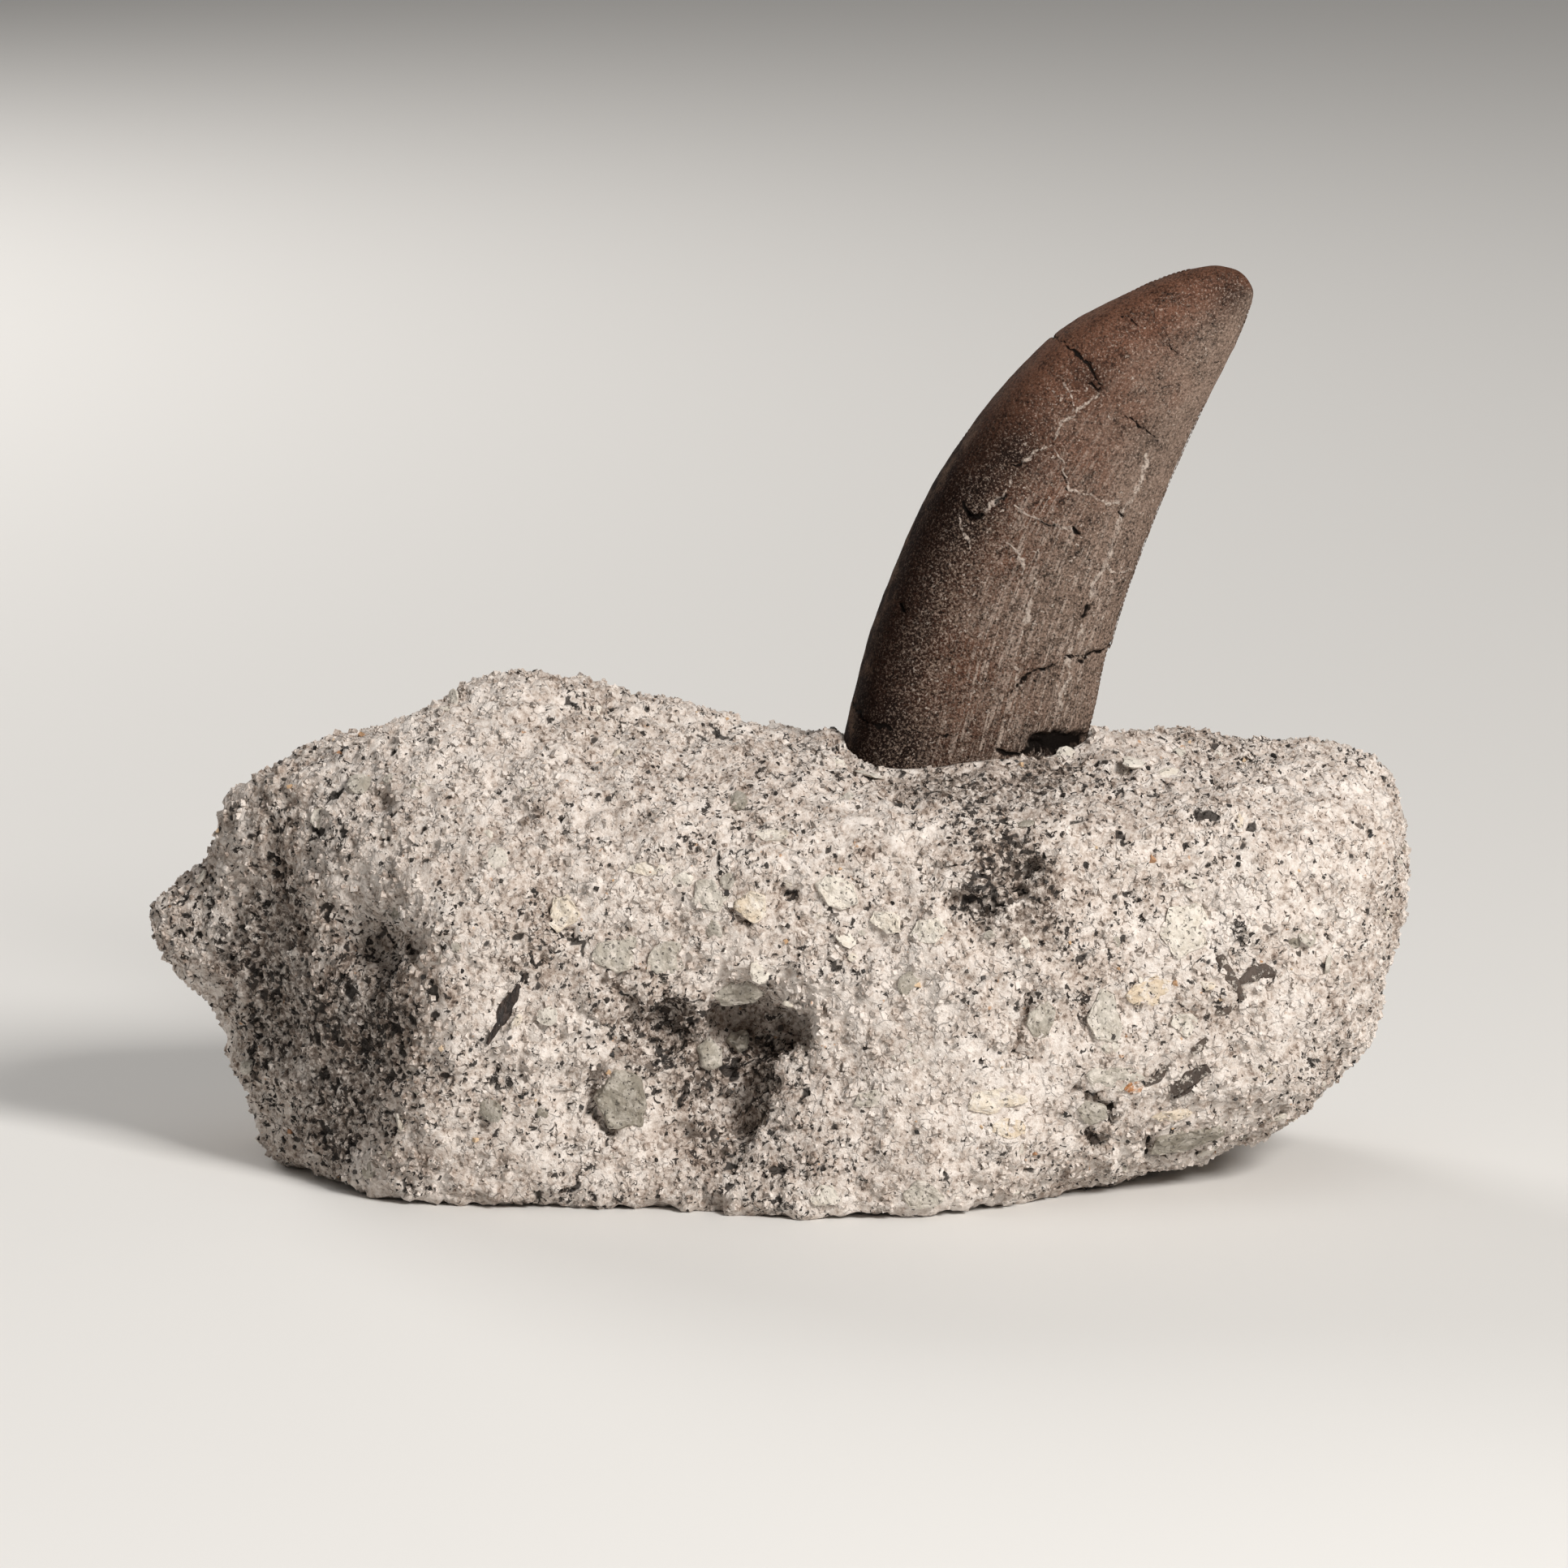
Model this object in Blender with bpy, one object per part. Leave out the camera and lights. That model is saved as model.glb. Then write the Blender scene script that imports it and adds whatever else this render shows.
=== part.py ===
"""A theropod tooth standing in its loose block of pebbly sandstone.

Two solids: "matrix", the block as it broke, with the pocket that holds the root,
and "tooth", one recurved, flattened crown with its buried root.
+X runs along the block, -Y is the front, +Z is up, and the block rests on z = 0.
"""

import math
from dataclasses import dataclass

import bmesh
import bpy
import numpy as np
from mathutils import Matrix, Vector, noise

MM = 0.001

# Driving dimensions of the block, in millimetres, and how finely it is drawn.
BLOCK_HEART = (0.0, 2.0, 30.0)
BLOCK_BOX = (168.0, 84.0, 66.0)
BLOCK_CELL = 4.6
# How round the arrises are worn, how steep a hollow's sides are, and the share of
# a swelling or a bump that also moves the outline.
ARRIS_BLEND = 0.10
HOLLOW_STEEPNESS = 2.6
OUTLINE_SHARE = 0.6

# Driving dimensions of the tooth, in millimetres, and how finely it is drawn.
CROWN_THICKNESS = 17.0
CROWN_RINGS = 46
SECTION_STEPS = 26
POCKET_CLEARANCE = 0.35
# The section is a flattened oval: how square it is, how far its bulk leans to the
# front edge, its half-thickness against an ellipse, and the half-width (mm) below
# which it thins towards the tip.
SECTION_SQUARENESS = 4
FRONT_LEAN = 0.35
SECTION_FULLNESS = 0.85
FULL_HALF_WIDTH = 15.5
TIP_THINNING = 0.9

# The block's skyline, ends and underside seen from the front, (x, z) from the
# right-hand end round over the top. Only the corners of the broken outline.
BLOCK_OUTLINE = (
    (87.0, 42.0),
    (85.0, 52.5),
    (79.5, 59.0),
    (71.0, 61.0),
    (56.0, 59.4),
    (40.0, 60.2),
    (8.0, 60.2),
    (-6.0, 60.8),
    (-20.0, 65.0),
    (-33.0, 69.8),
    (-42.0, 65.0),
    (-50.0, 61.6),
    (-60.0, 60.4),
    (-68.0, 56.6),
    (-76.5, 49.0),
    (-79.0, 40.0),
    (-76.8, 26.0),
    (-73.0, 12.0),
    (-67.0, -2.0),
    (-45.0, -6.0),
    (0.0, -6.0),
    (38.0, -4.0),
    (54.0, 2.0),
    (70.0, 8.2),
    (80.0, 19.5),
    (84.5, 32.0),
)

# The tooth's two edges in its own plane, (x, z) from the buried root to the tip.
FRONT_EDGE = (
    (6.4, 50.0),
    (8.9, 61.0),
    (13.0, 77.0),
    (21.8, 96.6),
    (35.0, 113.2),
    (48.2, 121.3),
    (56.5, 124.1),
    (61.4, 123.6),
    (63.9, 121.0),
)
CUTTING_EDGE = (
    (38.6, 50.0),
    (41.6, 60.3),
    (45.8, 76.5),
    (50.5, 89.9),
    (56.2, 103.3),
    (61.8, 115.0),
    (63.9, 121.0),
)


@dataclass(frozen=True)
class Facet:
    """A broken face of the block: a point on it, and the way it faces."""

    through: tuple
    azimuth: float
    elevation: float

    def normal(self):
        """Unit normal; azimuth 0 faces the front, 90 the right-hand end."""
        turn, rise = math.radians(self.azimuth), math.radians(self.elevation)
        flat = math.cos(rise)
        return Vector((math.sin(turn) * flat, -math.cos(turn) * flat, math.sin(rise)))


FACETS = (
    Facet((4, -40, 20), 15, 3),  # large front face
    Facet((-28, -30, 22), -2, 5),  # front face left of the hollow
    Facet((-50, -27, 26), -49, 0),  # left-hand face
    Facet((25, -8, 58.2), 0, 73),  # slope below the tooth
    Facet((40, -33, 46), 12, 42),  # right-hand shoulder
    Facet((-30, -24, 50), -8, 46),  # shoulder below the hump
    Facet((-56, -24, 44), -30, 32),  # left-hand shoulder
    Facet((82, -20, 30), 62, 4),  # right-hand front corner
    Facet((37, -21, 0), 28, -42),  # undercut below the front face
    Facet((-52, -30, 1), -24, -30),  # undercut at the lower left
    Facet((0, 42, 26), 176, 4),  # back face
    Facet((64, 34, 30), 140, 8),  # back right-hand corner
    Facet((-64, 32, 30), -136, 10),  # back left-hand corner
    Facet((-30, 12, 60), 190, 72),  # hump's back slope
    Facet((-20, 30, 56), 186, 40),  # back shoulder below the hump
    Facet((40, 6, 60), 176, 74),  # back slope behind the tooth
    Facet((40, 32, 48), 172, 42),  # back shoulder behind the tooth
    Facet((10, 40, 4), 180, -34),  # undercut at the back
)


@dataclass(frozen=True)
class Swelling:
    """A knob, or a hollow when its height is negative, raised along the surface."""

    at: tuple
    radius: float
    height: float


SWELLINGS = (
    Swelling((-78, 8, 32), 8.5, 12.0),  # knob at the left-hand end
    Swelling((-5, -37, 24), 11.0, -11.0),  # hollow in the middle of the front
    Swelling((-13, -33, 13), 10.0, -5.0),  # its lower, shallow end
    Swelling((-54, -20, 36), 8.0, -3.0),  # dimple in the left-hand face
    Swelling((31, -32, 42), 8.0, -2.2),  # dark hollow under the tooth
    Swelling((-32, 0, 60), 17.0, 6.0),  # hump
    Swelling((-34, 1, 68), 8.0, 3.0),  # its crown
    Swelling((-73, 2, 46), 7.0, 4.0),  # shoulder above the knob
    Swelling((-28, -31, 0), 21.0, -9.0),  # recess under the left-hand front
    Swelling((30, 42, 30), 14.0, -5.0),  # scar in the back face
    Swelling((-30, 40, 42), 12.0, 3.5),  # boss high on the back
)

# Roughness of the break: (wavelength, height) in millimetres.
ROUGHNESS = ((26.0, 2.2), (11.0, 1.6), (5.0, 0.8))


def smooth_through(points, count, closed=False):
    """Catmull-Rom curve through the points, as count points evenly spaced along it."""
    knots = [np.array(p, float) for p in points]
    if closed:
        knots = [knots[-1], *knots, knots[0], knots[1]]
    else:
        knots = [2 * knots[0] - knots[1], *knots, 2 * knots[-1] - knots[-2]]
    fine = []
    for before, start, end, after in zip(knots, knots[1:], knots[2:], knots[3:]):
        for t in np.linspace(0, 1, 24, endpoint=False):
            fine.append(
                0.5
                * (
                    2 * start
                    + (end - before) * t
                    + (2 * before - 5 * start + 4 * end - after) * t**2
                    + (3 * start - before - 3 * end + after) * t**3
                )
            )
    fine.append(knots[-2])
    fine = np.array(fine)
    travelled = np.r_[0, np.cumsum(np.linalg.norm(np.diff(fine, axis=0), axis=1))]
    at = np.linspace(0, travelled[-1], count)
    return np.column_stack([np.interp(at, travelled, axis) for axis in fine.T])


def outline_reach():
    """Angle from +X and distance from the heart to the outline, sorted by angle."""
    curve = smooth_through(BLOCK_OUTLINE, 400, closed=True)
    across = curve[:, 0] - BLOCK_HEART[0]
    up = curve[:, 1] - BLOCK_HEART[2]
    angle, reach = np.arctan2(up, across), np.hypot(across, up)
    order = np.argsort(angle)
    return angle[order], reach[order]


def smooth_max(one, other):
    """The larger of two closenesses, with the arris where they meet worn round."""
    near = max(ARRIS_BLEND - abs(one - other), 0.0) / ARRIS_BLEND
    return max(one, other) + near * near * ARRIS_BLEND / 4


def block_point(direction, angles, reaches):
    """The broken surface's point along a unit direction from the heart.

    Each face's closeness is one over its distance that way, times the block's
    half-width, so the nearest face is the largest and the blend is everywhere alike.
    """
    heart = Vector(BLOCK_HEART)
    half_width = BLOCK_BOX[1] / 2
    flat = math.hypot(direction.x, direction.z)
    angle = math.atan2(direction.z, direction.x)
    side = np.interp(angle, angles, reaches, period=2 * math.pi)
    closeness = half_width * flat / side
    for facet in FACETS:
        normal = facet.normal()
        reach = (Vector(facet.through) - heart).dot(normal)
        closeness = smooth_max(closeness, half_width * direction.dot(normal) / reach)
    point = heart + direction * (half_width / closeness)
    out = Vector((direction.x * OUTLINE_SHARE, direction.y, direction.z)).normalized()
    for swelling in SWELLINGS:
        gap = (point - Vector(swelling.at)).length / swelling.radius
        point += out * swelling.height * math.exp(-(gap**HOLLOW_STEEPNESS))
    for wavelength, height in ROUGHNESS:
        point += out * height * noise.noise(point / wavelength)
    return point


def new_object(name, mesh_maker, colour, roughness):
    """Turns a bmesh in millimetres into a named object in metres with its material."""
    mesh = bpy.data.meshes.new(name)
    mesh_maker.to_mesh(mesh)
    mesh_maker.free()
    mesh.transform(Matrix.Scale(MM, 4))
    mesh.materials.append(finish(name, colour, roughness))
    obj = bpy.data.objects.new(name, mesh)
    bpy.context.scene.collection.objects.link(obj)
    return obj


def finish(name, colour, roughness):
    """A plain Principled finish."""
    material = bpy.data.materials.new(name)
    material.use_nodes = True
    shader = material.node_tree.nodes["Principled BSDF"]
    shader.inputs["Base Color"].default_value = (*colour, 1)
    shader.inputs["Roughness"].default_value = roughness
    shader.inputs["Metallic"].default_value = 0.0
    return material


def celled_box(size, cell):
    """A closed box about the origin whose six faces are grids of near-square cells."""
    bm = bmesh.new()
    counts = [max(2, round(side / cell)) for side in size]
    for axis in range(3):
        u, v = (axis + 1) % 3, (axis + 2) % 3
        for side in (-0.5, 0.5):
            grid = []
            for i in range(counts[u] + 1):
                row = []
                for j in range(counts[v] + 1):
                    corner = [0.0, 0.0, 0.0]
                    corner[axis] = side * size[axis]
                    corner[u] = (i / counts[u] - 0.5) * size[u]
                    corner[v] = (j / counts[v] - 0.5) * size[v]
                    row.append(bm.verts.new(corner))
                grid.append(row)
            for lower, upper in zip(grid, grid[1:]):
                for a, b, c, d in zip(lower, lower[1:], upper[1:], upper):
                    bm.faces.new((a, b, c, d))
    bmesh.ops.remove_doubles(bm, verts=bm.verts, dist=0.01)
    bmesh.ops.recalc_face_normals(bm, faces=bm.faces)
    return bm


def make_block():
    """The block of sandstone: a box of square cells drawn onto the broken surface."""
    bm = celled_box(BLOCK_BOX, BLOCK_CELL)
    angles, reaches = outline_reach()
    for vertex in bm.verts:
        vertex.co = block_point(vertex.co.normalized(), angles, reaches)
        vertex.co.z = max(vertex.co.z, 0.0)
    return new_object("matrix", bm, (0.62, 0.57, 0.52), 0.9)


def crown_section(front, cutting, grow):
    """One ring: blunt at the front edge, drawn to a sharp cutting edge at the back."""
    middle, reach = (front + cutting) / 2, (front - cutting) / 2
    half_width = np.linalg.norm(reach)
    thinning = min(1.0, half_width / FULL_HALF_WIDTH) ** TIP_THINNING
    ring = []
    for step in range(SECTION_STEPS):
        turn = 2 * math.pi * step / SECTION_STEPS
        along = math.cos(turn)
        oval = math.sqrt(1 - along**SECTION_SQUARENESS) * (1 + along) ** FRONT_LEAN
        depth = oval * SECTION_FULLNESS * thinning * CROWN_THICKNESS / 2
        on_an_edge = step in (0, SECTION_STEPS // 2)
        side = 0 if on_an_edge else math.copysign(1, math.sin(turn))
        flat = middle + reach * along * (1 + grow / half_width)
        ring.append((flat[0], side * (depth + grow), flat[1]))
    return ring


def crown_bmesh(rings, grow=0.0, lower_by=0.0):
    """Lofts the tooth through its rings, closed by a flat root and a pointed tip."""
    front = smooth_through(FRONT_EDGE, CROWN_RINGS)
    cutting = smooth_through(CUTTING_EDGE, CROWN_RINGS)
    bm = bmesh.new()
    loops = []
    for index in range(rings):
        ring = crown_section(front[index], cutting[index], grow)
        if index == 0:
            ring = [(x, y, z - lower_by) for x, y, z in ring]
        loops.append([bm.verts.new(point) for point in ring])
    for lower, upper in zip(loops, loops[1:]):
        for step in range(SECTION_STEPS):
            after = (step + 1) % SECTION_STEPS
            bm.faces.new((lower[step], lower[after], upper[after], upper[step]))
    bm.faces.new(loops[0])
    bm.faces.new(loops[-1])
    bmesh.ops.recalc_face_normals(bm, faces=bm.faces)
    return bm


def make_tooth():
    """Crown and buried root as one solid."""
    bm = crown_bmesh(CROWN_RINGS - 1)
    return new_object("tooth", bm, (0.17, 0.12, 0.10), 0.5)


def cut_pocket(block):
    """The pocket that the root sits in, a little larger than the root all round."""
    bm = crown_bmesh(CROWN_RINGS // 2, grow=POCKET_CLEARANCE, lower_by=POCKET_CLEARANCE)
    cutter = new_object("pocket_cutter", bm, (0.5, 0.5, 0.5), 0.9)
    cutter.hide_render = True
    cutter.display_type = "WIRE"
    pocket = block.modifiers.new("pocket", "BOOLEAN")
    pocket.operation = "DIFFERENCE"
    pocket.object = cutter
    pocket.solver = "EXACT"


def centre_footprint(objects):
    """Moves the meshes together, so that the origin is below the middle of their box."""
    points = [vertex.co for obj in objects for vertex in obj.data.vertices]
    middle = [(min(p[i] for p in points) + max(p[i] for p in points)) / 2 for i in (0, 1)]
    for obj in bpy.data.objects:
        obj.data.transform(Matrix.Translation((-middle[0], -middle[1], 0)))


def main():
    for obj in list(bpy.data.objects):
        bpy.data.objects.remove(obj)
    block = make_block()
    tooth = make_tooth()
    cut_pocket(block)
    centre_footprint((block, tooth))


main()
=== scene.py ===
"""Dresses a fossil theropod tooth in its block of pebbly sandstone, and stages it.

Sizes are in millimetres in the part's own frame (+X along the block, -Y its front,
+Z up), and become metres where a mesh is made.
"""

import logging
import math
from collections.abc import Iterable, Mapping, Sequence
from dataclasses import dataclass, field
from enum import Enum
from typing import Any

import bmesh
import bpy
import numpy as np
from mathutils import Euler, Matrix, Vector
from mathutils import noise as cloud
from mathutils.bvhtree import BVHTree


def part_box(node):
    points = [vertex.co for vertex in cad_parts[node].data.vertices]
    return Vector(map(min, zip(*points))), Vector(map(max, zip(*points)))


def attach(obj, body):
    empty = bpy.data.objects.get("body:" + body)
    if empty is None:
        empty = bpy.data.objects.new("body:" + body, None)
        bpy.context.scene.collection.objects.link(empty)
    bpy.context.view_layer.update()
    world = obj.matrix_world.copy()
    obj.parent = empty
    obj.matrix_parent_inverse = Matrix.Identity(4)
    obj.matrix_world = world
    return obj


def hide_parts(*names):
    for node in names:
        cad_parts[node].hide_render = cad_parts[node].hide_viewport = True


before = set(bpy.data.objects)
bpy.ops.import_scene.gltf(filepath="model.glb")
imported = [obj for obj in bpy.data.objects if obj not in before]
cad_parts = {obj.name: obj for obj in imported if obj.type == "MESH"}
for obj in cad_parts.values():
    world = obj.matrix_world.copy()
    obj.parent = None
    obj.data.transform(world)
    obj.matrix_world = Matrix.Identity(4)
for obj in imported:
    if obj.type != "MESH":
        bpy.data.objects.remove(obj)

LOG = logging.getLogger("fossil_tooth")
MM = 0.001
BODY = "root"
WELL_IN_FRONT = -100.0  # y from which a place on the front face is sought
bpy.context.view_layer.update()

Colour = tuple[float, float, float]
Point = tuple[float, float, float]
FlatPoint = tuple[float, float]


# --------------------------------------------------------------------------- nodes


@dataclass(frozen=True)
class Value:
    """A number socket, on which Python's operators add Math nodes.

    Args:
        tree: The tree that the socket belongs to.
        socket: The socket that gives the number.
    """

    tree: "NodeTree"
    socket: bpy.types.NodeSocket

    def _math(self, operation: str, *numbers: "Value | float") -> "Value":
        """One Math node with these inputs."""
        settings = {"operation": operation}
        made = self.tree.node("ShaderNodeMath", settings, dict(enumerate(numbers)))
        return Value(self.tree, made.outputs[0])

    def __add__(self, other: "Value | float") -> "Value":
        """self + other."""
        return self._math("ADD", self, other)

    __radd__ = __add__

    def __sub__(self, other: "Value | float") -> "Value":
        """self - other."""
        return self._math("SUBTRACT", self, other)

    def __rsub__(self, other: "Value | float") -> "Value":
        """other - self."""
        return self._math("SUBTRACT", other, self)

    def __mul__(self, other: "Value | float") -> "Value":
        """self * other."""
        return self._math("MULTIPLY", self, other)

    __rmul__ = __mul__

    def __truediv__(self, other: "Value | float") -> "Value":
        """self / other."""
        return self._math("DIVIDE", self, other)

    def __pow__(self, other: "Value | float") -> "Value":
        """self to a power."""
        return self._math("POWER", self, other)

    def clamped(self) -> "Value":
        """Held between 0 and 1."""
        return self._math("MINIMUM", self._math("MAXIMUM", self, 0.0), 1.0)

    def ramp(self, low: float, high: float) -> "Value":
        """0 below low, 1 above high and smooth between; low may be the larger."""
        made = self.tree.node(
            "ShaderNodeMapRange",
            {"interpolation_type": "SMOOTHSTEP"},
            {"Value": self, "From Min": low, "From Max": high},
        )
        return Value(self.tree, made.outputs[0])


class NodeTree:
    """What shader trees and geometry trees have in common."""

    place: bpy.types.NodeSocket

    def __init__(self, tree: bpy.types.NodeTree) -> None:
        """Empties the tree and keeps it.

        Args:
            tree: A new material's or node group's tree.
        """
        self.tree = tree
        tree.nodes.clear()

    def node(
        self,
        kind: str,
        settings: Mapping[str, Any] | None = None,
        inputs: Mapping[str | int, Any] | None = None,
    ) -> bpy.types.Node:
        """Adds a node.

        Args:
            kind: Its type, such as "ShaderNodeMath".
            settings: Its properties; "stops" are a colour ramp's (place, colour) pairs.
            inputs: Numbers, colours or sockets for its inputs, by name or index.

        Returns:
            The new node.
        """
        made = self.tree.nodes.new(kind)
        for name, value in (settings or {}).items():
            if name == "stops":
                self._set_stops(made.color_ramp, value)
            else:
                setattr(made, name, value)
        for key, value in (inputs or {}).items():
            self.feed(made.inputs[key], value)
        return made

    @staticmethod
    def _set_stops(ramp: bpy.types.ColorRamp, stops: Sequence[tuple[float, Colour]]) -> None:
        """Gives a ramp its stops."""
        while len(ramp.elements) < len(stops):
            ramp.elements.new(1.0)
        for element, (place, colour) in zip(ramp.elements, stops):
            element.position = place
            element.color = (*colour, 1.0)

    def feed(self, socket: bpy.types.NodeSocket, value: Any) -> None:
        """Links a socket to another, or sets its constant."""
        source = value.socket if isinstance(value, Value) else value
        if isinstance(source, bpy.types.NodeSocket):
            self.tree.links.new(source, socket)
        else:
            socket.default_value = source

    def value(self, node: bpy.types.Node, output: str | int = 0) -> Value:
        """A node's output as a Value."""
        return Value(self, node.outputs[output])

    def attribute(self, name: str) -> Value:
        """A number stored on the mesh; overridden by each kind of tree."""
        raise NotImplementedError

    def stretched(self, vector: Any, by: Point) -> bpy.types.NodeSocket:
        """A vector multiplied axis by axis."""
        settings = {"operation": "MULTIPLY"}
        return self.node("ShaderNodeVectorMath", settings, {0: vector, 1: by}).outputs[0]

    def shifted(self, vector: Any, by: Any) -> bpy.types.NodeSocket:
        """A vector plus another."""
        return self.node("ShaderNodeVectorMath", {"operation": "ADD"}, {0: vector, 1: by}).outputs[0]

    def vector(self, x: Any, y: Any, z: Any) -> bpy.types.NodeSocket:
        """A vector from three numbers."""
        return self.node("ShaderNodeCombineXYZ", None, {0: x, 1: y, 2: z}).outputs[0]

    def noise(
        self, scale: float, detail: float = 2.0, rough: float = 0.5, at: Any = None, twist: float = 0.0
    ) -> Value:
        """Fractal noise about 0.5, with scale waves to the millimetre."""
        inputs = {
            "Vector": at or self.place,
            "Scale": scale,
            "Detail": detail,
            "Roughness": rough,
            "Distortion": twist,
        }
        return self.value(self.node("ShaderNodeTexNoise", None, inputs), "Fac")

    def warped(self, by: float, scale: float) -> bpy.types.NodeSocket:
        """The place, pushed about by up to half of by millimetres."""
        cloud = self.node("ShaderNodeTexNoise", None, {"Vector": self.place, "Scale": scale})
        return self.shifted(self.place, self.stretched(cloud.outputs["Color"], (by, by, by)))

    def cells(self, at: Any, scale: float) -> bpy.types.Node:
        """Voronoi cells, scale of them to the millimetre."""
        return self.node("ShaderNodeTexVoronoi", None, {"Vector": at, "Scale": scale})

    def gaps(self, at: Any, scale: float) -> Value:
        """Distance to the nearest edge between those cells."""
        settings = {"feature": "DISTANCE_TO_EDGE"}
        return self.value(self.node("ShaderNodeTexVoronoi", settings, {"Vector": at, "Scale": scale}))

    def specks(self, scale: float, bias: Any, edge: float = 0.03) -> Value:
        """Uneven dark specks, more of them where the bias is larger."""
        wave = self.noise(scale, 4.0, 0.62, None, 0.5) + (self.noise(0.085, 2.0) - 0.5) * 0.22
        return (wave + bias).ramp(0.64, 0.64 + edge)


class FinishTree(NodeTree):
    """A material's shader tree around one Principled BSDF."""

    def __init__(self, name: str) -> None:
        """Makes the material.

        Args:
            name: The material's name.
        """
        self.material = bpy.data.materials.new(name)
        self.material.use_nodes = True
        super().__init__(self.material.node_tree)
        self.shader = self.node("ShaderNodeBsdfPrincipled")
        output = self.node("ShaderNodeOutputMaterial")
        self.feed(output.inputs["Surface"], self.shader.outputs[0])
        place = self.node("ShaderNodeTexCoord")
        self.place = self.stretched(place.outputs["Object"], (1 / MM, 1 / MM, 1 / MM))

    def attribute(self, name: str) -> Value:
        """A number stored on the mesh, 0 where the mesh has none."""
        made = self.node("ShaderNodeAttribute", {"attribute_name": name})
        return self.value(made, "Fac")

    def channel(self, colour: Any, index: int) -> Value:
        """One of a colour's three numbers."""
        return self.value(self.node("ShaderNodeSeparateColor", None, {0: colour}), index)

    def mix(self, share: Any, first: Any, second: Any, blend: str = "MIX") -> bpy.types.NodeSocket:
        """Mixes two colours.

        Args:
            share: The second colour's share.
            first: A colour or a colour socket.
            second: A colour or a colour socket.
            blend: The way of mixing.

        Returns:
            The mixed colour's socket.
        """
        inputs = {0: share, 6: self._colour(first), 7: self._colour(second)}
        return self.node("ShaderNodeMix", {"data_type": "RGBA", "blend_type": blend}, inputs).outputs[2]

    @staticmethod
    def _colour(colour: Any) -> Any:
        """A plain colour with its alpha, or the socket as it is."""
        return (*colour, 1.0) if isinstance(colour, tuple) else colour

    def graded(self, share: Value, stops: Sequence[tuple[float, Colour]]) -> bpy.types.NodeSocket:
        """A colour read from a ramp of stops."""
        return self.node("ShaderNodeValToRGB", {"stops": stops}, {0: share}).outputs[0]

    def finish(
        self, colour: Any, roughness: Any, height: Any = None, depth: float = 0.1
    ) -> bpy.types.Material:
        """Feeds the shader.

        Args:
            colour: Base colour, or its socket.
            roughness: A number, or its socket.
            height: The relief that the bump reads, or None.
            depth: How many millimetres a height of 1 stands for.

        Returns:
            The finished material.
        """
        self.feed(self.shader.inputs["Base Color"], self._colour(colour))
        self.feed(self.shader.inputs["Roughness"], roughness)
        if height is not None:
            inputs = {"Strength": 1.0, "Distance": depth * MM, "Height": height}
            bump = self.node("ShaderNodeBump", None, inputs)
            self.feed(self.shader.inputs["Normal"], bump.outputs[0])
        return self.material

    def constant(self, **settings: float) -> None:
        """Sets numbers that are the same all over, such as Coat_Weight."""
        for name, number in settings.items():
            self.shader.inputs[name.replace("_", " ")].default_value = number


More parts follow.
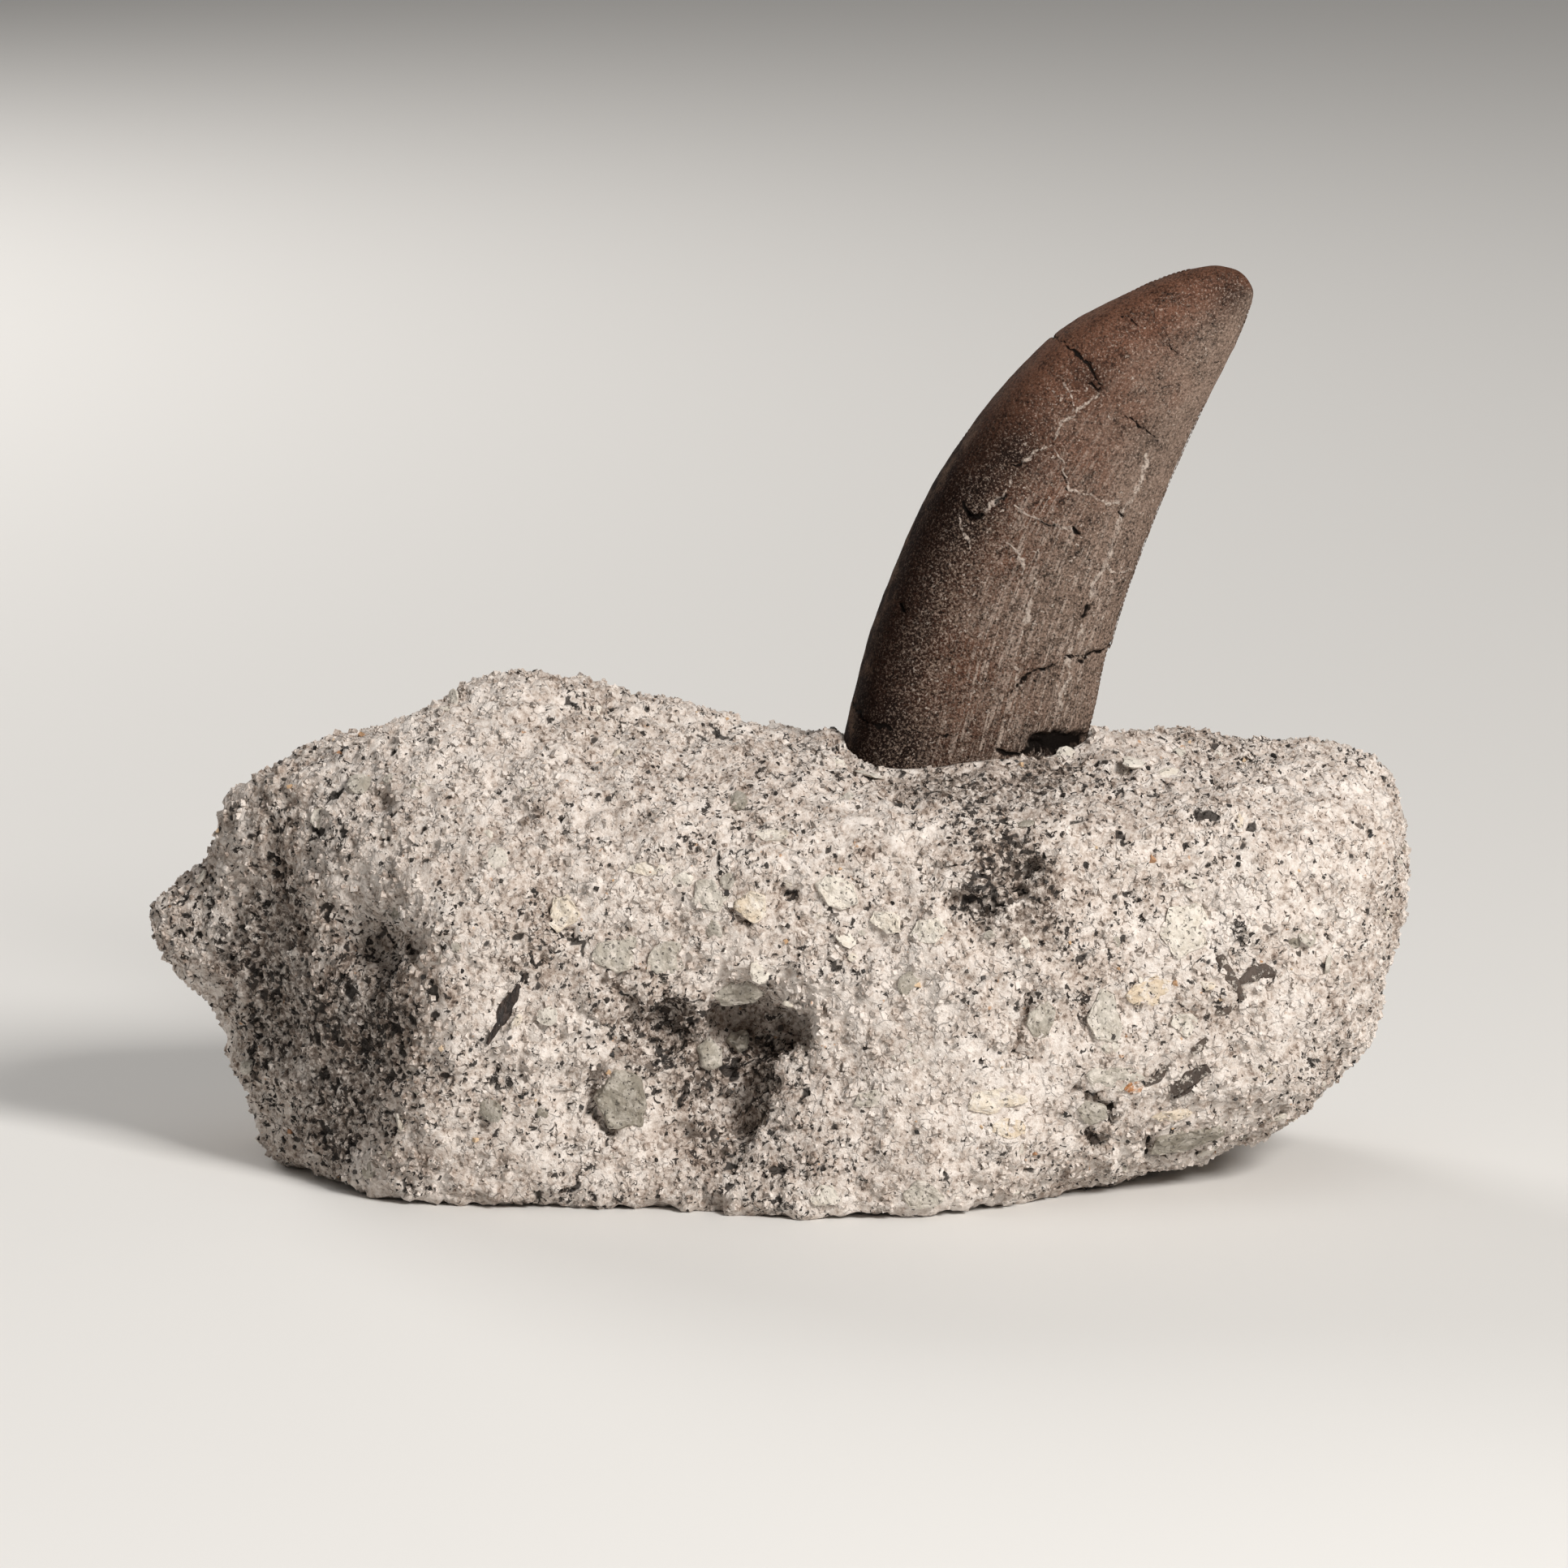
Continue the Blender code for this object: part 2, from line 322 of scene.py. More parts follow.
class ShapeTree(NodeTree):
    """A Geometry Nodes tree that turns a host object into a piece."""

    def __init__(self, name: str, sizes: Mapping[str, float]) -> None:
        """Makes the group and its named inputs.

        Args:
            name: The group's name.
            sizes: Each input's name and default.
        """
        group = bpy.data.node_groups.new(name, "GeometryNodeTree")
        super().__init__(group)
        group.interface.new_socket("Geometry", in_out="INPUT", socket_type="NodeSocketGeometry")
        group.interface.new_socket("Geometry", in_out="OUTPUT", socket_type="NodeSocketGeometry")
        self.identifiers: dict[str, str] = {}
        for label, default in sizes.items():
            socket = group.interface.new_socket(label, in_out="INPUT", socket_type="NodeSocketFloat")
            socket.default_value = default
            self.identifiers[label] = socket.identifier
        self.inputs = self.node("NodeGroupInput")
        self.host = self.inputs.outputs["Geometry"]
        place = self.node("GeometryNodeInputPosition").outputs[0]
        self.place = self.stretched(place, (1 / MM, 1 / MM, 1 / MM))

    def size(self, label: str) -> Value:
        """A named input."""
        return self.value(self.inputs, label)

    def attribute(self, name: str) -> Value:
        """A number stored on the host."""
        settings = {"data_type": "FLOAT"}
        return self.value(self.node("GeometryNodeInputNamedAttribute", settings, {"Name": name}))

    def random(self, low: Any, high: Any, seed: int, kind: str = "FLOAT") -> bpy.types.NodeSocket:
        """A seeded random number or vector for each element."""
        first, output = (2, 1) if kind == "FLOAT" else (0, 0)
        inputs = {first: low, first + 1: high, "Seed": seed}
        return self.node("FunctionNodeRandomValue", {"data_type": kind}, inputs).outputs[output]

    def scaled(self, vector: Any, by: Any) -> bpy.types.NodeSocket:
        """A vector times a number."""
        return self.node("ShaderNodeVectorMath", {"operation": "SCALE"}, {0: vector, "Scale": by}).outputs[0]

    def named(self, geometry: Any, name: str, number: Any, domain: str = "INSTANCE") -> bpy.types.NodeSocket:
        """Stores a number for each instance, or each POINT, under a name."""
        settings = {"data_type": "FLOAT", "domain": domain}
        inputs = {0: geometry, "Name": name, "Value": number}
        return self.node("GeometryNodeStoreNamedAttribute", settings, inputs).outputs[0]

    def shaken(self, scale: float, reach: float) -> bpy.types.NodeSocket:
        """An offset of up to about reach millimetres, different from corner to corner."""
        wave = self.node("ShaderNodeTexNoise", None, {"Vector": self.place, "Scale": scale})
        centred = self.shifted(wave.outputs["Color"], (-0.5, -0.5, -0.5))
        return self.scaled(centred, 2 * reach * MM)

    def end(self, geometry: Any, material: bpy.types.Material, jitter: Any = None) -> None:
        """Realizes the instances, shakes their corners and gives them their material.

        Args:
            geometry: The geometry so far.
            material: The piece's material.
            jitter: How far each corner moves from its place, or None.
        """
        real = self.node("GeometryNodeRealizeInstances", None, {0: geometry}).outputs[0]
        if jitter is not None:
            real = self.node("GeometryNodeSetPosition", None, {0: real, "Offset": jitter}).outputs[0]
        dressed = self.node("GeometryNodeSetMaterial", None, {0: real, "Material": material})
        self.node("NodeGroupOutput", None, {0: dressed.outputs[0]})

    def grow(self, host: bpy.types.Object, name: str, sizes: Mapping[str, float]) -> bpy.types.Object:
        """Runs the tree on a host and keeps the result as a plain mesh.

        Args:
            host: The object that the tree reads; it is left as it was.
            name: The new piece's name.
            sizes: Values for the named inputs.

        Returns:
            The new object.
        """
        modifier = host.modifiers.new(self.tree.name, "NODES")
        modifier.node_group = self.tree
        for label, number in sizes.items():
            modifier[self.identifiers[label]] = float(number)
        mesh = evaluated_mesh(host)
        host.modifiers.remove(modifier)
        return linked(name, mesh)


# ------------------------------------------------------------------------ finishes


@dataclass(frozen=True)
class SandstoneFinish:
    """Pale, cemented, fine sand with dark grains and gaps in it, and with painted shade on shaded ground and
    in its pits.

    Args:
        tones: The sand's colours, from its greyest to its palest.
        dark: A dark grain's colour, also used for the painted shade in pits.
        stained_and_shaded: The colour of stained ground, also used for painted shade on shaded ground.
        rust: A rusty grain's colour.
        grains_per_mm: How fine the sand is.
        relief: Height of its grain in millimetres.
        speckled: How common dark specks are on clear ground.
    """

    tones: tuple[tuple[float, Colour], ...] = (
        (0.00, (0.092, 0.062, 0.046)),
        (0.22, (0.28, 0.214, 0.172)),
        (0.48, (0.50, 0.422, 0.366)),
        (0.70, (0.64, 0.569, 0.513)),
        (1.00, (0.77, 0.706, 0.653)),
    )
    dark: Colour = (0.014, 0.0095, 0.007)
    stained_and_shaded: Colour = (0.062, 0.043, 0.031)
    rust: Colour = (0.52, 0.25, 0.09)
    grains_per_mm: float = 1.15
    relief: float = 0.20
    speckled: float = 0.028

    def material(self, name: str = "cemented_sand", loose: bool = False) -> bpy.types.Material:
        """The rock's own surface, or that of its loose grains.

        Args:
            name: The material's name.
            loose: Whether it is for grains, which have a "tone" each and no pits.

        Returns:
            The material.
        """
        tree = FinishTree(name)
        painted_shade_and_dark_ground = tree.attribute("painted_shade_and_dark_ground")
        patches = tree.noise(0.11, 3.0, 0.55)
        blotch = tree.noise(self.grains_per_mm, 4.0, 0.7)
        clumps = tree.noise(0.34, 3.0, 0.6)
        # Painted shade: the gloom number darkens the tone, the clots and the specks on the left face turned
        # from the light, in the hollows, in crevices and round the tooth's foot. Where it is negative it
        # lightens them, which is painted light. It also marks some real dark ground.
        tone = 0.69 + (patches - 0.5) * 0.8 + (clumps - 0.5) * 1.1 + (blotch - 0.5) * 2.0 - painted_shade_and_dark_ground * 0.21
        if loose:
            tone = tone + (tree.attribute("tone") - 0.5) * 0.32 - 0.01
        colour = tree.graded(tone.clamped(), self.tones)
        rusty = tree.noise(0.8, 2.0, 0.5, tree.shifted(tree.place, (31.0, 7.0, 13.0))).ramp(0.735, 0.76)
        colour = tree.mix(rusty * 0.6, colour, self.rust)
        clots = tree.specks(0.55, painted_shade_and_dark_ground * 0.07 - 0.015, 0.05)
        colour = tree.mix(clots * 0.8, colour, self.stained_and_shaded)
        specks = tree.specks(0.95, painted_shade_and_dark_ground * 0.072 + self.speckled)
        colour = tree.mix(specks * 0.95, colour, self.dark)
        joints = 1.0 - tree.gaps(tree.warped(1.1, 0.9), 0.62).ramp(0.0, 0.09)
        hairs = joints * tree.noise(0.4, 3.0).ramp(0.47, 0.56)
        colour = tree.mix(hairs * 0.32, colour, self.dark)
        # Painted shade: the murk darkens the shaded ground further.
        murk_and_shade = painted_shade_and_dark_ground.ramp(0.40, 0.95) * blotch.ramp(0.58, 0.44)
        colour = tree.mix(murk_and_shade * 0.5, colour, self.stained_and_shaded)
        height = blotch * 1.6 + tree.noise(3.4, 3.0) * 0.5 - specks * 0.8 - hairs * 0.5
        if not loose:
            # Painted shade: the pits are coloured dark, partly as dark gaps and partly as the shade in them.
            pits = (tree.attribute("pitted") + (blotch - 0.5) * 0.5).ramp(0.35, 0.62)
            colour = tree.mix(pits * 0.9, colour, self.dark)
        return tree.finish(colour, 0.9, height, self.relief)


@dataclass(frozen=True)
class GrainFinish:
    """One mineral's sand grains, toned grain by grain."""

    name: str
    tones: tuple[tuple[float, Colour], ...]
    roughness: float

    def material(self) -> bpy.types.Material:
        """The grains' material.

        Returns:
            The material.
        """
        tree = FinishTree(self.name)
        colour = tree.graded(tree.attribute("tone"), self.tones)
        cloud = tree.noise(1.4, 3.0)
        colour = tree.mix(cloud.ramp(0.45, 0.75) * 0.25, colour, (0.35, 0.29, 0.23), "MULTIPLY")
        return tree.finish(colour, self.roughness, tree.noise(4.0, 2.0), 0.06)


@dataclass(frozen=True)
class ClastFinish:
    """Pebbles broken across: greenish grey, cream, tan, rusty or dark by their tint."""

    tints: tuple[tuple[float, Colour], ...] = (
        (0.00, (0.075, 0.065, 0.055)),
        (0.15, (0.18, 0.158, 0.128)),
        (0.30, (0.28, 0.253, 0.206)),
        (0.50, (0.54, 0.502, 0.440)),
        (0.65, (0.76, 0.71, 0.63)),
        (0.80, (0.66, 0.54, 0.40)),
        (0.92, (0.54, 0.38, 0.22)),
        (1.00, (0.44, 0.19, 0.07)),
    )
    sand: Colour = (0.74, 0.68, 0.61)
    dark: Colour = (0.07, 0.058, 0.048)

    def material(self) -> bpy.types.Material:
        """The pebbles' material.

        Returns:
            The material.
        """
        tree = FinishTree("pebble")
        mottle = tree.noise(0.5, 5.0, 0.65)
        tint = tree.attribute("tint") + (tree.noise(0.22, 2.0) - 0.5) * 0.25
        colour = tree.graded(tint.clamped(), self.tints)
        colour = tree.mix(mottle.ramp(0.40, 0.72) * 0.5, colour, (0.55, 0.49, 0.41), "MULTIPLY")
        bloom = tree.noise(0.7, 5.0, 0.7, tree.warped(2.0, 0.5)).ramp(0.47, 0.60)
        colour = tree.mix(bloom * (0.34 + tint.ramp(0.32, 0.50) * 0.40), colour, self.sand)
        specks = tree.noise(1.7, 4.0, 0.6).ramp(0.60, 0.65)
        colour = tree.mix(specks * 0.75, colour, self.dark)
        height = mottle + tree.noise(2.2, 4.0, 0.6) * 0.8 - specks * 0.8
        return tree.finish(colour, 0.85, height, 0.26)


@dataclass(frozen=True)
class CarbonFinish:
    """Plant remains turned to brittle, brown-black carbon."""

    def material(self) -> bpy.types.Material:
        """The fragments' material.

        Returns:
            The material.
        """
        tree = FinishTree("carbonised_plant")
        fibres = tree.noise(1.0, 4.0, 0.6, tree.stretched(tree.place, (2.6, 1.0, 0.5)))
        stops = ((0.35, (0.010, 0.007, 0.006)), (0.6, (0.045, 0.030, 0.024)), (0.8, (0.12, 0.085, 0.065)))
        ashen = tree.attribute("ashen")
        colour = tree.mix(ashen * 0.75, tree.graded(fibres, stops), (0.120, 0.088, 0.068))
        sand = (tree.noise(1.1, 4.0, 0.7) + ashen * 0.05).ramp(0.56, 0.62)
        colour = tree.mix(sand * ashen.ramp(0.0, 0.6) * 0.85, colour, (0.55, 0.49, 0.43))
        return tree.finish(colour, 0.62, fibres + tree.noise(3.0) * 0.4 + sand * 0.8, 0.3)


@dataclass(frozen=True)
class EnamelFinish:
    """Mineralised enamel: red-brown where smooth, greyer and matt to the cutting edge.

    Args:
        red: The smooth enamel's colour.
        grey: The weathered enamel's colour.
        edge: The painted highlight's colour along the front edge, where rim light catches it.
        soot_and_shade: The colour of the dark band down the front edge's side, partly the enamel's own and
            partly painted shade, and of painted contact shade at the crown's foot.
        dusty: The fine dust's colour.
        streak: The colour of the worn lines that run up the crown.
        chalk: The colour of infilled cracks and of the grains left on it.
        crack: The colour of an open crack.
    """

    red: Colour = (0.150, 0.070, 0.044)
    grey: Colour = (0.232, 0.163, 0.126)
    edge: Colour = (0.185, 0.115, 0.078)
    soot_and_shade: Colour = (0.0085, 0.0030, 0.0016)
    dusty: Colour = (0.235, 0.170, 0.131)
    streak: Colour = (0.42, 0.335, 0.28)
    chalk: Colour = (0.52, 0.44, 0.38)
    crack: Colour = (0.006, 0.004, 0.003)

    def material(self) -> bpy.types.Material:
        """The tooth's material.

        Returns:
            The material.
        """
        tree = FinishTree("fossil_enamel")
        tree.constant(Specular_IOR_Level=0.08)
        across, along = tree.attribute("across"), tree.attribute("along")
        side = self._side(tree)
        cloud, mottle, grain = tree.noise(0.10, 3.0), tree.noise(0.45, 5.0, 0.6), tree.noise(2.2, 5.0, 0.75)
        low = along.ramp(58.0, 34.0)
        colour = tree.mix((across + (cloud - 0.5) * 0.9).ramp(0.28, 0.85), self.red, self.grey)
        shade = 0.83 + (mottle - 0.5) * 2.0 + (grain - 0.5) * 3.8 - low * 0.15
        shade = shade + across.ramp(0.62, 0.95) * 0.14
        colour = tree.mix(1.0, colour, shade.clamped(), "MULTIPLY")
        # Painted shade: the dark band down the front edge's side is partly the enamel's own dark colour and
        # partly the side turned from the light; foot is painted contact shade where the crown meets the rock,
        # and the stains add painted shadow at its gap.
        dark_band_and_shade = across.ramp(0.47, 0.14) * along.ramp(62.0, 40.0) * (0.42 + mottle * 1.15)
        foot = along.ramp(16.0, 8.0) * (0.15 + mottle * 0.7)
        soot_and_shade_share = (dark_band_and_shade.clamped() * 0.95 + tree.attribute("stain_and_shade") * (0.35 + mottle) + foot).clamped()
        colour = tree.mix(soot_and_shade_share * 0.98, colour, self.soot_and_shade)
        dust = self._dust(tree, across, low)
        colour = tree.mix(dust * (0.28 + across.ramp(0.04, 0.30) * 0.38), colour, self.dusty)
        # Painted highlight: a pale rim in broken patches along the front edge, standing for rim light
        # catching it.
        rim = (across + (mottle - 0.5) * 0.08).ramp(0.044, 0.008)
        bare = tree.noise(0.26, 4.0, 0.65).ramp(0.42, 0.66)
        rim = rim * along.ramp(86.0, 56.0) * bare * (0.20 + grain * 0.7)
        colour = tree.mix(rim, colour, self.edge)
        streaks = self._streaks(tree, across, along, side)
        lit = across.ramp(0.26, 0.50) * across.ramp(1.0, 0.86) * (low * 0.8 + 0.2)
        colour = tree.mix((streaks * lit).clamped() * 0.85, colour, self.streak)
        fine = tree.noise(3.4, 3.0, 0.7)
        colour = tree.mix(1.0, colour, (0.93 + (fine - 0.5) * (3.4 + low * 1.6)).clamped(), "MULTIPLY")
        glints = fine.ramp(0.565, 0.66) * (across.ramp(0.03, 0.24) * 0.85 + 0.12)
        colour = tree.mix(glints * 0.65, colour, self.streak)
        specks = self._specks(tree, across, low)
        colour = tree.mix(specks * 0.7, colour, self.chalk)
        colour, veins, cracks = self._broken(tree, colour)
        sheen = 0.42 + low * 0.14 + across.ramp(0.3, 0.9) * 0.12 + dust * 0.15
        roughness = sheen + across.ramp(0.22, 0.04) * 0.45 + (grain - 0.5) * 0.5
        height = mottle * 0.35 + streaks * lit * 0.4 + dust * 0.35 + specks * 0.4 + veins * 0.5 - cracks * 2.0
        height = height + grain * 0.9
        return tree.finish(colour, roughness.clamped(), height, 0.16)

    @staticmethod
    def _side(tree: FinishTree) -> Value:
        """The front-to-back place, which keeps one side's marks from the other's."""
        split = tree.node("ShaderNodeSeparateXYZ", None, {0: tree.place})
        return tree.value(split, "Y")

    @staticmethod
    def _streaks(tree: FinishTree, across: Value, along: Value, side: Value) -> Value:
        """Fine, broken lines that run up the crown."""
        close_set = tree.vector(across * 84.0, along * 0.13, side * 0.12)
        fine = tree.noise(1.0, 2.0, 0.6, close_set).ramp(0.52, 0.62)
        wide_set = tree.vector(across * 46.0, along * 0.08, side * 0.12)
        broad = tree.noise(1.0, 2.0, 0.6, wide_set).ramp(0.55, 0.64)
        breaks = tree.noise(0.9, 4.0, 0.75).ramp(0.40, 0.56)
        return (fine + broad * 0.6) * breaks

    @staticmethod
    def _dust(tree: FinishTree, across: Value, low: Value) -> Value:
        """Fine pale dust on the enamel, thin at its front edge and on its upper part."""
        middle = across.ramp(0.02, 0.24) * across.ramp(1.0, 0.50)
        thick = low * (0.015 + middle * 0.065) + (tree.noise(0.22, 3.0) - 0.5) * 0.18
        return (tree.noise(2.9, 3.0, 0.7) + thick).ramp(0.565, 0.67)

    @staticmethod
    def _specks(tree: FinishTree, across: Value, low: Value) -> Value:
        """Coarser pale grains left on the enamel, most of them low down."""
        crumbs = tree.cells(tree.warped(1.4, 1.6), 1.6)
        near = tree.value(crumbs, "Distance").ramp(0.34, 0.20)
        picked = tree.channel(crumbs.outputs["Color"], 0)
        share = low * 0.16 + tree.noise(0.16, 3.0).ramp(0.45, 0.7) * 0.12 + 0.02
        return near * (share - picked).ramp(-0.02, 0.02) * across.ramp(0.02, 0.34)

    def _broken(self, tree: FinishTree, colour: Any) -> tuple[Any, Value, Value]:
        """Adds the dark cracks and the pale infilled ones.

        Args:
            tree: The tree being built.
            colour: The enamel's colour so far.

        Returns:
            The colour, the pale lines' mask and the dark cracks' mask.
        """
        fray = (tree.noise(1.7, 4.0, 0.7) - 0.5) * 0.36
        worn = tree.noise(1.1, 3.0, 0.7).ramp(0.40, 0.54)
        veins = (tree.attribute("vein") + fray).ramp(0.83, 0.96) * (0.32 + worn * 0.68)
        cracks = (tree.attribute("crack") + fray * 0.8).ramp(0.89, 0.96)
        colour = tree.mix(veins * 0.85, colour, self.chalk)
        return tree.mix(cracks, colour, self.crack), veins, cracks


@dataclass(frozen=True)
class FloorFinish:
    """A plain pale surface."""

    colour: Colour = (0.80, 0.79, 0.77)

    def material(self) -> bpy.types.Material:
        """The floor's material.

        Returns:
            The material.
        """
        tree = FinishTree("pale_floor")
        return tree.finish(self.colour, 0.7)


# -------------------------------------------------------------------------- meshes


def linked(name: str, mesh: bpy.types.Mesh) -> bpy.types.Object:
    """A new object in the scene."""
    obj = bpy.data.objects.new(name, mesh)
    bpy.context.scene.collection.objects.link(obj)
    return obj


def evaluated_mesh(obj: bpy.types.Object) -> bpy.types.Mesh:
    """The object's mesh with its modifiers applied, as new data."""
    bpy.context.view_layer.update()
    graph = bpy.context.evaluated_depsgraph_get()
    return bpy.data.meshes.new_from_object(obj.evaluated_get(graph))


def applied(obj: bpy.types.Object) -> bpy.types.Object:
    """Replaces the object's mesh by its evaluated one and drops the modifiers."""
    mesh = evaluated_mesh(obj)
    obj.modifiers.clear()
    obj.data = mesh
    return obj


def from_faces(name: str, points: Iterable[Point], faces: Iterable[Sequence[int]]) -> bpy.types.Mesh:
    """A closed mesh that faces outwards.

    Args:
        name: The mesh's name.
        points: Its corners in millimetres.
        faces: Corner numbers, face by face.

    Returns:
        The mesh, in metres.
    """
    mesh = bpy.data.meshes.new(name)
    scaled = [tuple(c * MM for c in point) for point in points]
    mesh.from_pydata(scaled, [], [tuple(face) for face in faces])
    shell = bmesh.new()
    shell.from_mesh(mesh)
    bmesh.ops.recalc_face_normals(shell, faces=shell.faces)
    shell.to_mesh(mesh)
    shell.free()
    return mesh


def positions(mesh: bpy.types.Mesh) -> np.ndarray:
    """The mesh's points in millimetres, one to a row."""
    flat = np.empty(len(mesh.vertices) * 3, np.float32)
    mesh.vertices.foreach_get("co", flat)
    return flat.reshape(-1, 3).astype(float) / MM


def reposition(mesh: bpy.types.Mesh, points: np.ndarray) -> None:
    """Moves the mesh's points to these places in millimetres."""
    mesh.vertices.foreach_set("co", (points * MM).astype(np.float32).ravel())
    mesh.update()


def normals(mesh: bpy.types.Mesh) -> np.ndarray:
    """The mesh's point normals, one to a row."""
    flat = np.empty(len(mesh.vertices) * 3, np.float32)
    mesh.vertex_normals.foreach_get("vector", flat)
    return flat.reshape(-1, 3).astype(float)


def store(mesh: bpy.types.Mesh, name: str, numbers: np.ndarray) -> None:
    """Keeps a number for each of the mesh's points under a name."""
    kept = mesh.attributes.get(name) or mesh.attributes.new(name, "FLOAT", "POINT")
    kept.data.foreach_set("value", np.asarray(numbers, np.float32))


def clouds(points: np.ndarray, wavelength: float, octaves: int = 3, seed: float = 0.0) -> np.ndarray:
    """Fractal noise about 0 at each point.

    Args:
        points: The places in millimetres.
        wavelength: The largest features' size in millimetres.
        octaves: How many ever finer layers there are.
        seed: Moves the pattern, for a different one.

    Returns:
        One number for each point, mostly between -0.6 and 0.6.
    """
    rows = points / wavelength + seed
    return np.array([cloud.fractal(Vector(row), 1.0, 2.0, octaves) for row in rows])


def smoothstep(low: float, high: float, numbers: np.ndarray) -> np.ndarray:
    """0 at low, 1 at high and smooth between; low may be the larger."""
    share = np.clip((numbers - low) / (high - low), 0.0, 1.0)
    return share * share * (3.0 - 2.0 * share)


def smooth_through(points: Sequence[FlatPoint], count: int) -> np.ndarray:
    """Catmull-Rom curve through the points.

    Args:
        points: The curve's knots.
        count: How many evenly spaced points come back.

    Returns:
        The curve's points, one to a row.
    """
    knots = [np.array(p, float) for p in points]
    knots = [2 * knots[0] - knots[1], *knots, 2 * knots[-1] - knots[-2]]
    fine = []
    for before, start, end, after in zip(knots, knots[1:], knots[2:], knots[3:]):
        for t in np.linspace(0, 1, 24, endpoint=False):
            bend = 2 * before - 5 * start + 4 * end - after
            lift = 3 * start - before - 3 * end + after
            fine.append(0.5 * (2 * start + (end - before) * t + bend * t**2 + lift * t**3))
    fine.append(knots[-2])
    path = np.array(fine)
    travelled = np.r_[0, np.cumsum(np.linalg.norm(np.diff(path, axis=0), axis=1))]
    at = np.linspace(0, travelled[-1], count)
    return np.column_stack([np.interp(at, travelled, axis) for axis in path.T])


def off_path(places: np.ndarray, path: Sequence[FlatPoint]) -> np.ndarray:
    """Distance from each flat place to a path of straight runs, or to its one point."""
    knots = np.array(path, float)
    nearest = np.linalg.norm(places - knots[0], axis=1)
    for start, end in zip(knots, knots[1:]):
        run = end - start
        share = np.clip((places - start) @ run / (run @ run), 0.0, 1.0)
        nearest = np.minimum(nearest, np.linalg.norm(places - start - share[:, None] * run, axis=1))
    return nearest


def merged(node: str) -> bmesh.types.BMesh:
    """A copy of a frame node's mesh with its doubles merged."""
    shell = bmesh.new()
    shell.from_mesh(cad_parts[node].data)
    bmesh.ops.remove_doubles(shell, verts=shell.verts, dist=MM / 1000)
    return shell


@dataclass(frozen=True)
class Lump:
    """A rough rounded lump, which carves a hollow where it is cut away.

    Args:
        middle: Its centre in millimetres.
        size: Its half-lengths in millimetres.
        turn: Its turns about x, y and z in degrees.
        rough: How uneven it is, as a share of its size.
    """

    middle: Point
    size: Point
    turn: Point = (0.0, 0.0, 0.0)
    rough: float = 0.30

    def mesh(self, detail: int = 4) -> bpy.types.Mesh:
        """The lump as a closed mesh.

        Args:
            detail: How many times the sphere under it is divided.

        Returns:
            The mesh.
        """
        shell = bmesh.new()
        bmesh.ops.create_icosphere(shell, subdivisions=detail, radius=1.0)
        turn = Euler([math.radians(angle) for angle in self.turn]).to_matrix()
        for vertex in shell.verts:
            wave = cloud.fractal(vertex.co * 1.3 + Vector(self.middle), 1.0, 2.0, 4)
            reach = turn @ Vector([a * b for a, b in zip(vertex.co, self.size)])
            vertex.co = (Vector(self.middle) + reach * (1.0 + self.rough * wave)) * MM
        mesh = bpy.data.meshes.new("lump")
        shell.to_mesh(mesh)
        shell.free()
        return mesh

    def cut_from(self, obj: bpy.types.Object) -> None:
        """Carves the lump's form out of an object."""
        combine(obj, linked("lump", self.mesh()), "DIFFERENCE")

    def heap_on(self, obj: bpy.types.Object) -> None:
        """Joins the lump to an object."""
        combine(obj, linked("lump", self.mesh()), "UNION")


def combine(obj: bpy.types.Object, other: bpy.types.Object, operation: str) -> None:
    """Cuts another object's form out of one, or joins it on, and removes the other."""
    boolean = obj.modifiers.new("combine", "BOOLEAN")
    boolean.operation = operation
    boolean.object = other
    boolean.solver = "MANIFOLD"
    applied(obj)
    bpy.data.objects.remove(other)


# -------------------------------------------------------------------------- matrix


@dataclass(frozen=True)
class Patch:
    """A soft-edged patch of the rock: its middle, reach in millimetres and strength."""

    middle: Point
    reach: float
    strength: float

    def over(self, points: np.ndarray) -> np.ndarray:
        """The patch's strength at each point."""
        gap = np.linalg.norm(points - np.array(self.middle), axis=1) / self.reach
        return self.strength * np.exp(-(gap**2))


@dataclass(frozen=True)
class Clast:
    """A pebble in the broken face, level with it or a little proud.

    Args:
        at: Where it sits, (x, z) in millimetres seen from the front.
        half_width: Half its width.
        half_height: Half its height.
        lean: Its turn in the face in degrees, to the right.
        tint: Its colour's place on the pebbles' ramp.
        rise: How far it stands proud.
    """

    at: FlatPoint
    half_width: float
    half_height: float
    lean: float = 0.0
    tint: float = 0.5
    rise: float = 0.5


@dataclass(frozen=True)
class Crevice:
    """A narrow gap in the front face: (x, z) points along it, half-width and depth."""

    through: tuple[FlatPoint, ...]
    half_width: float
    depth: float


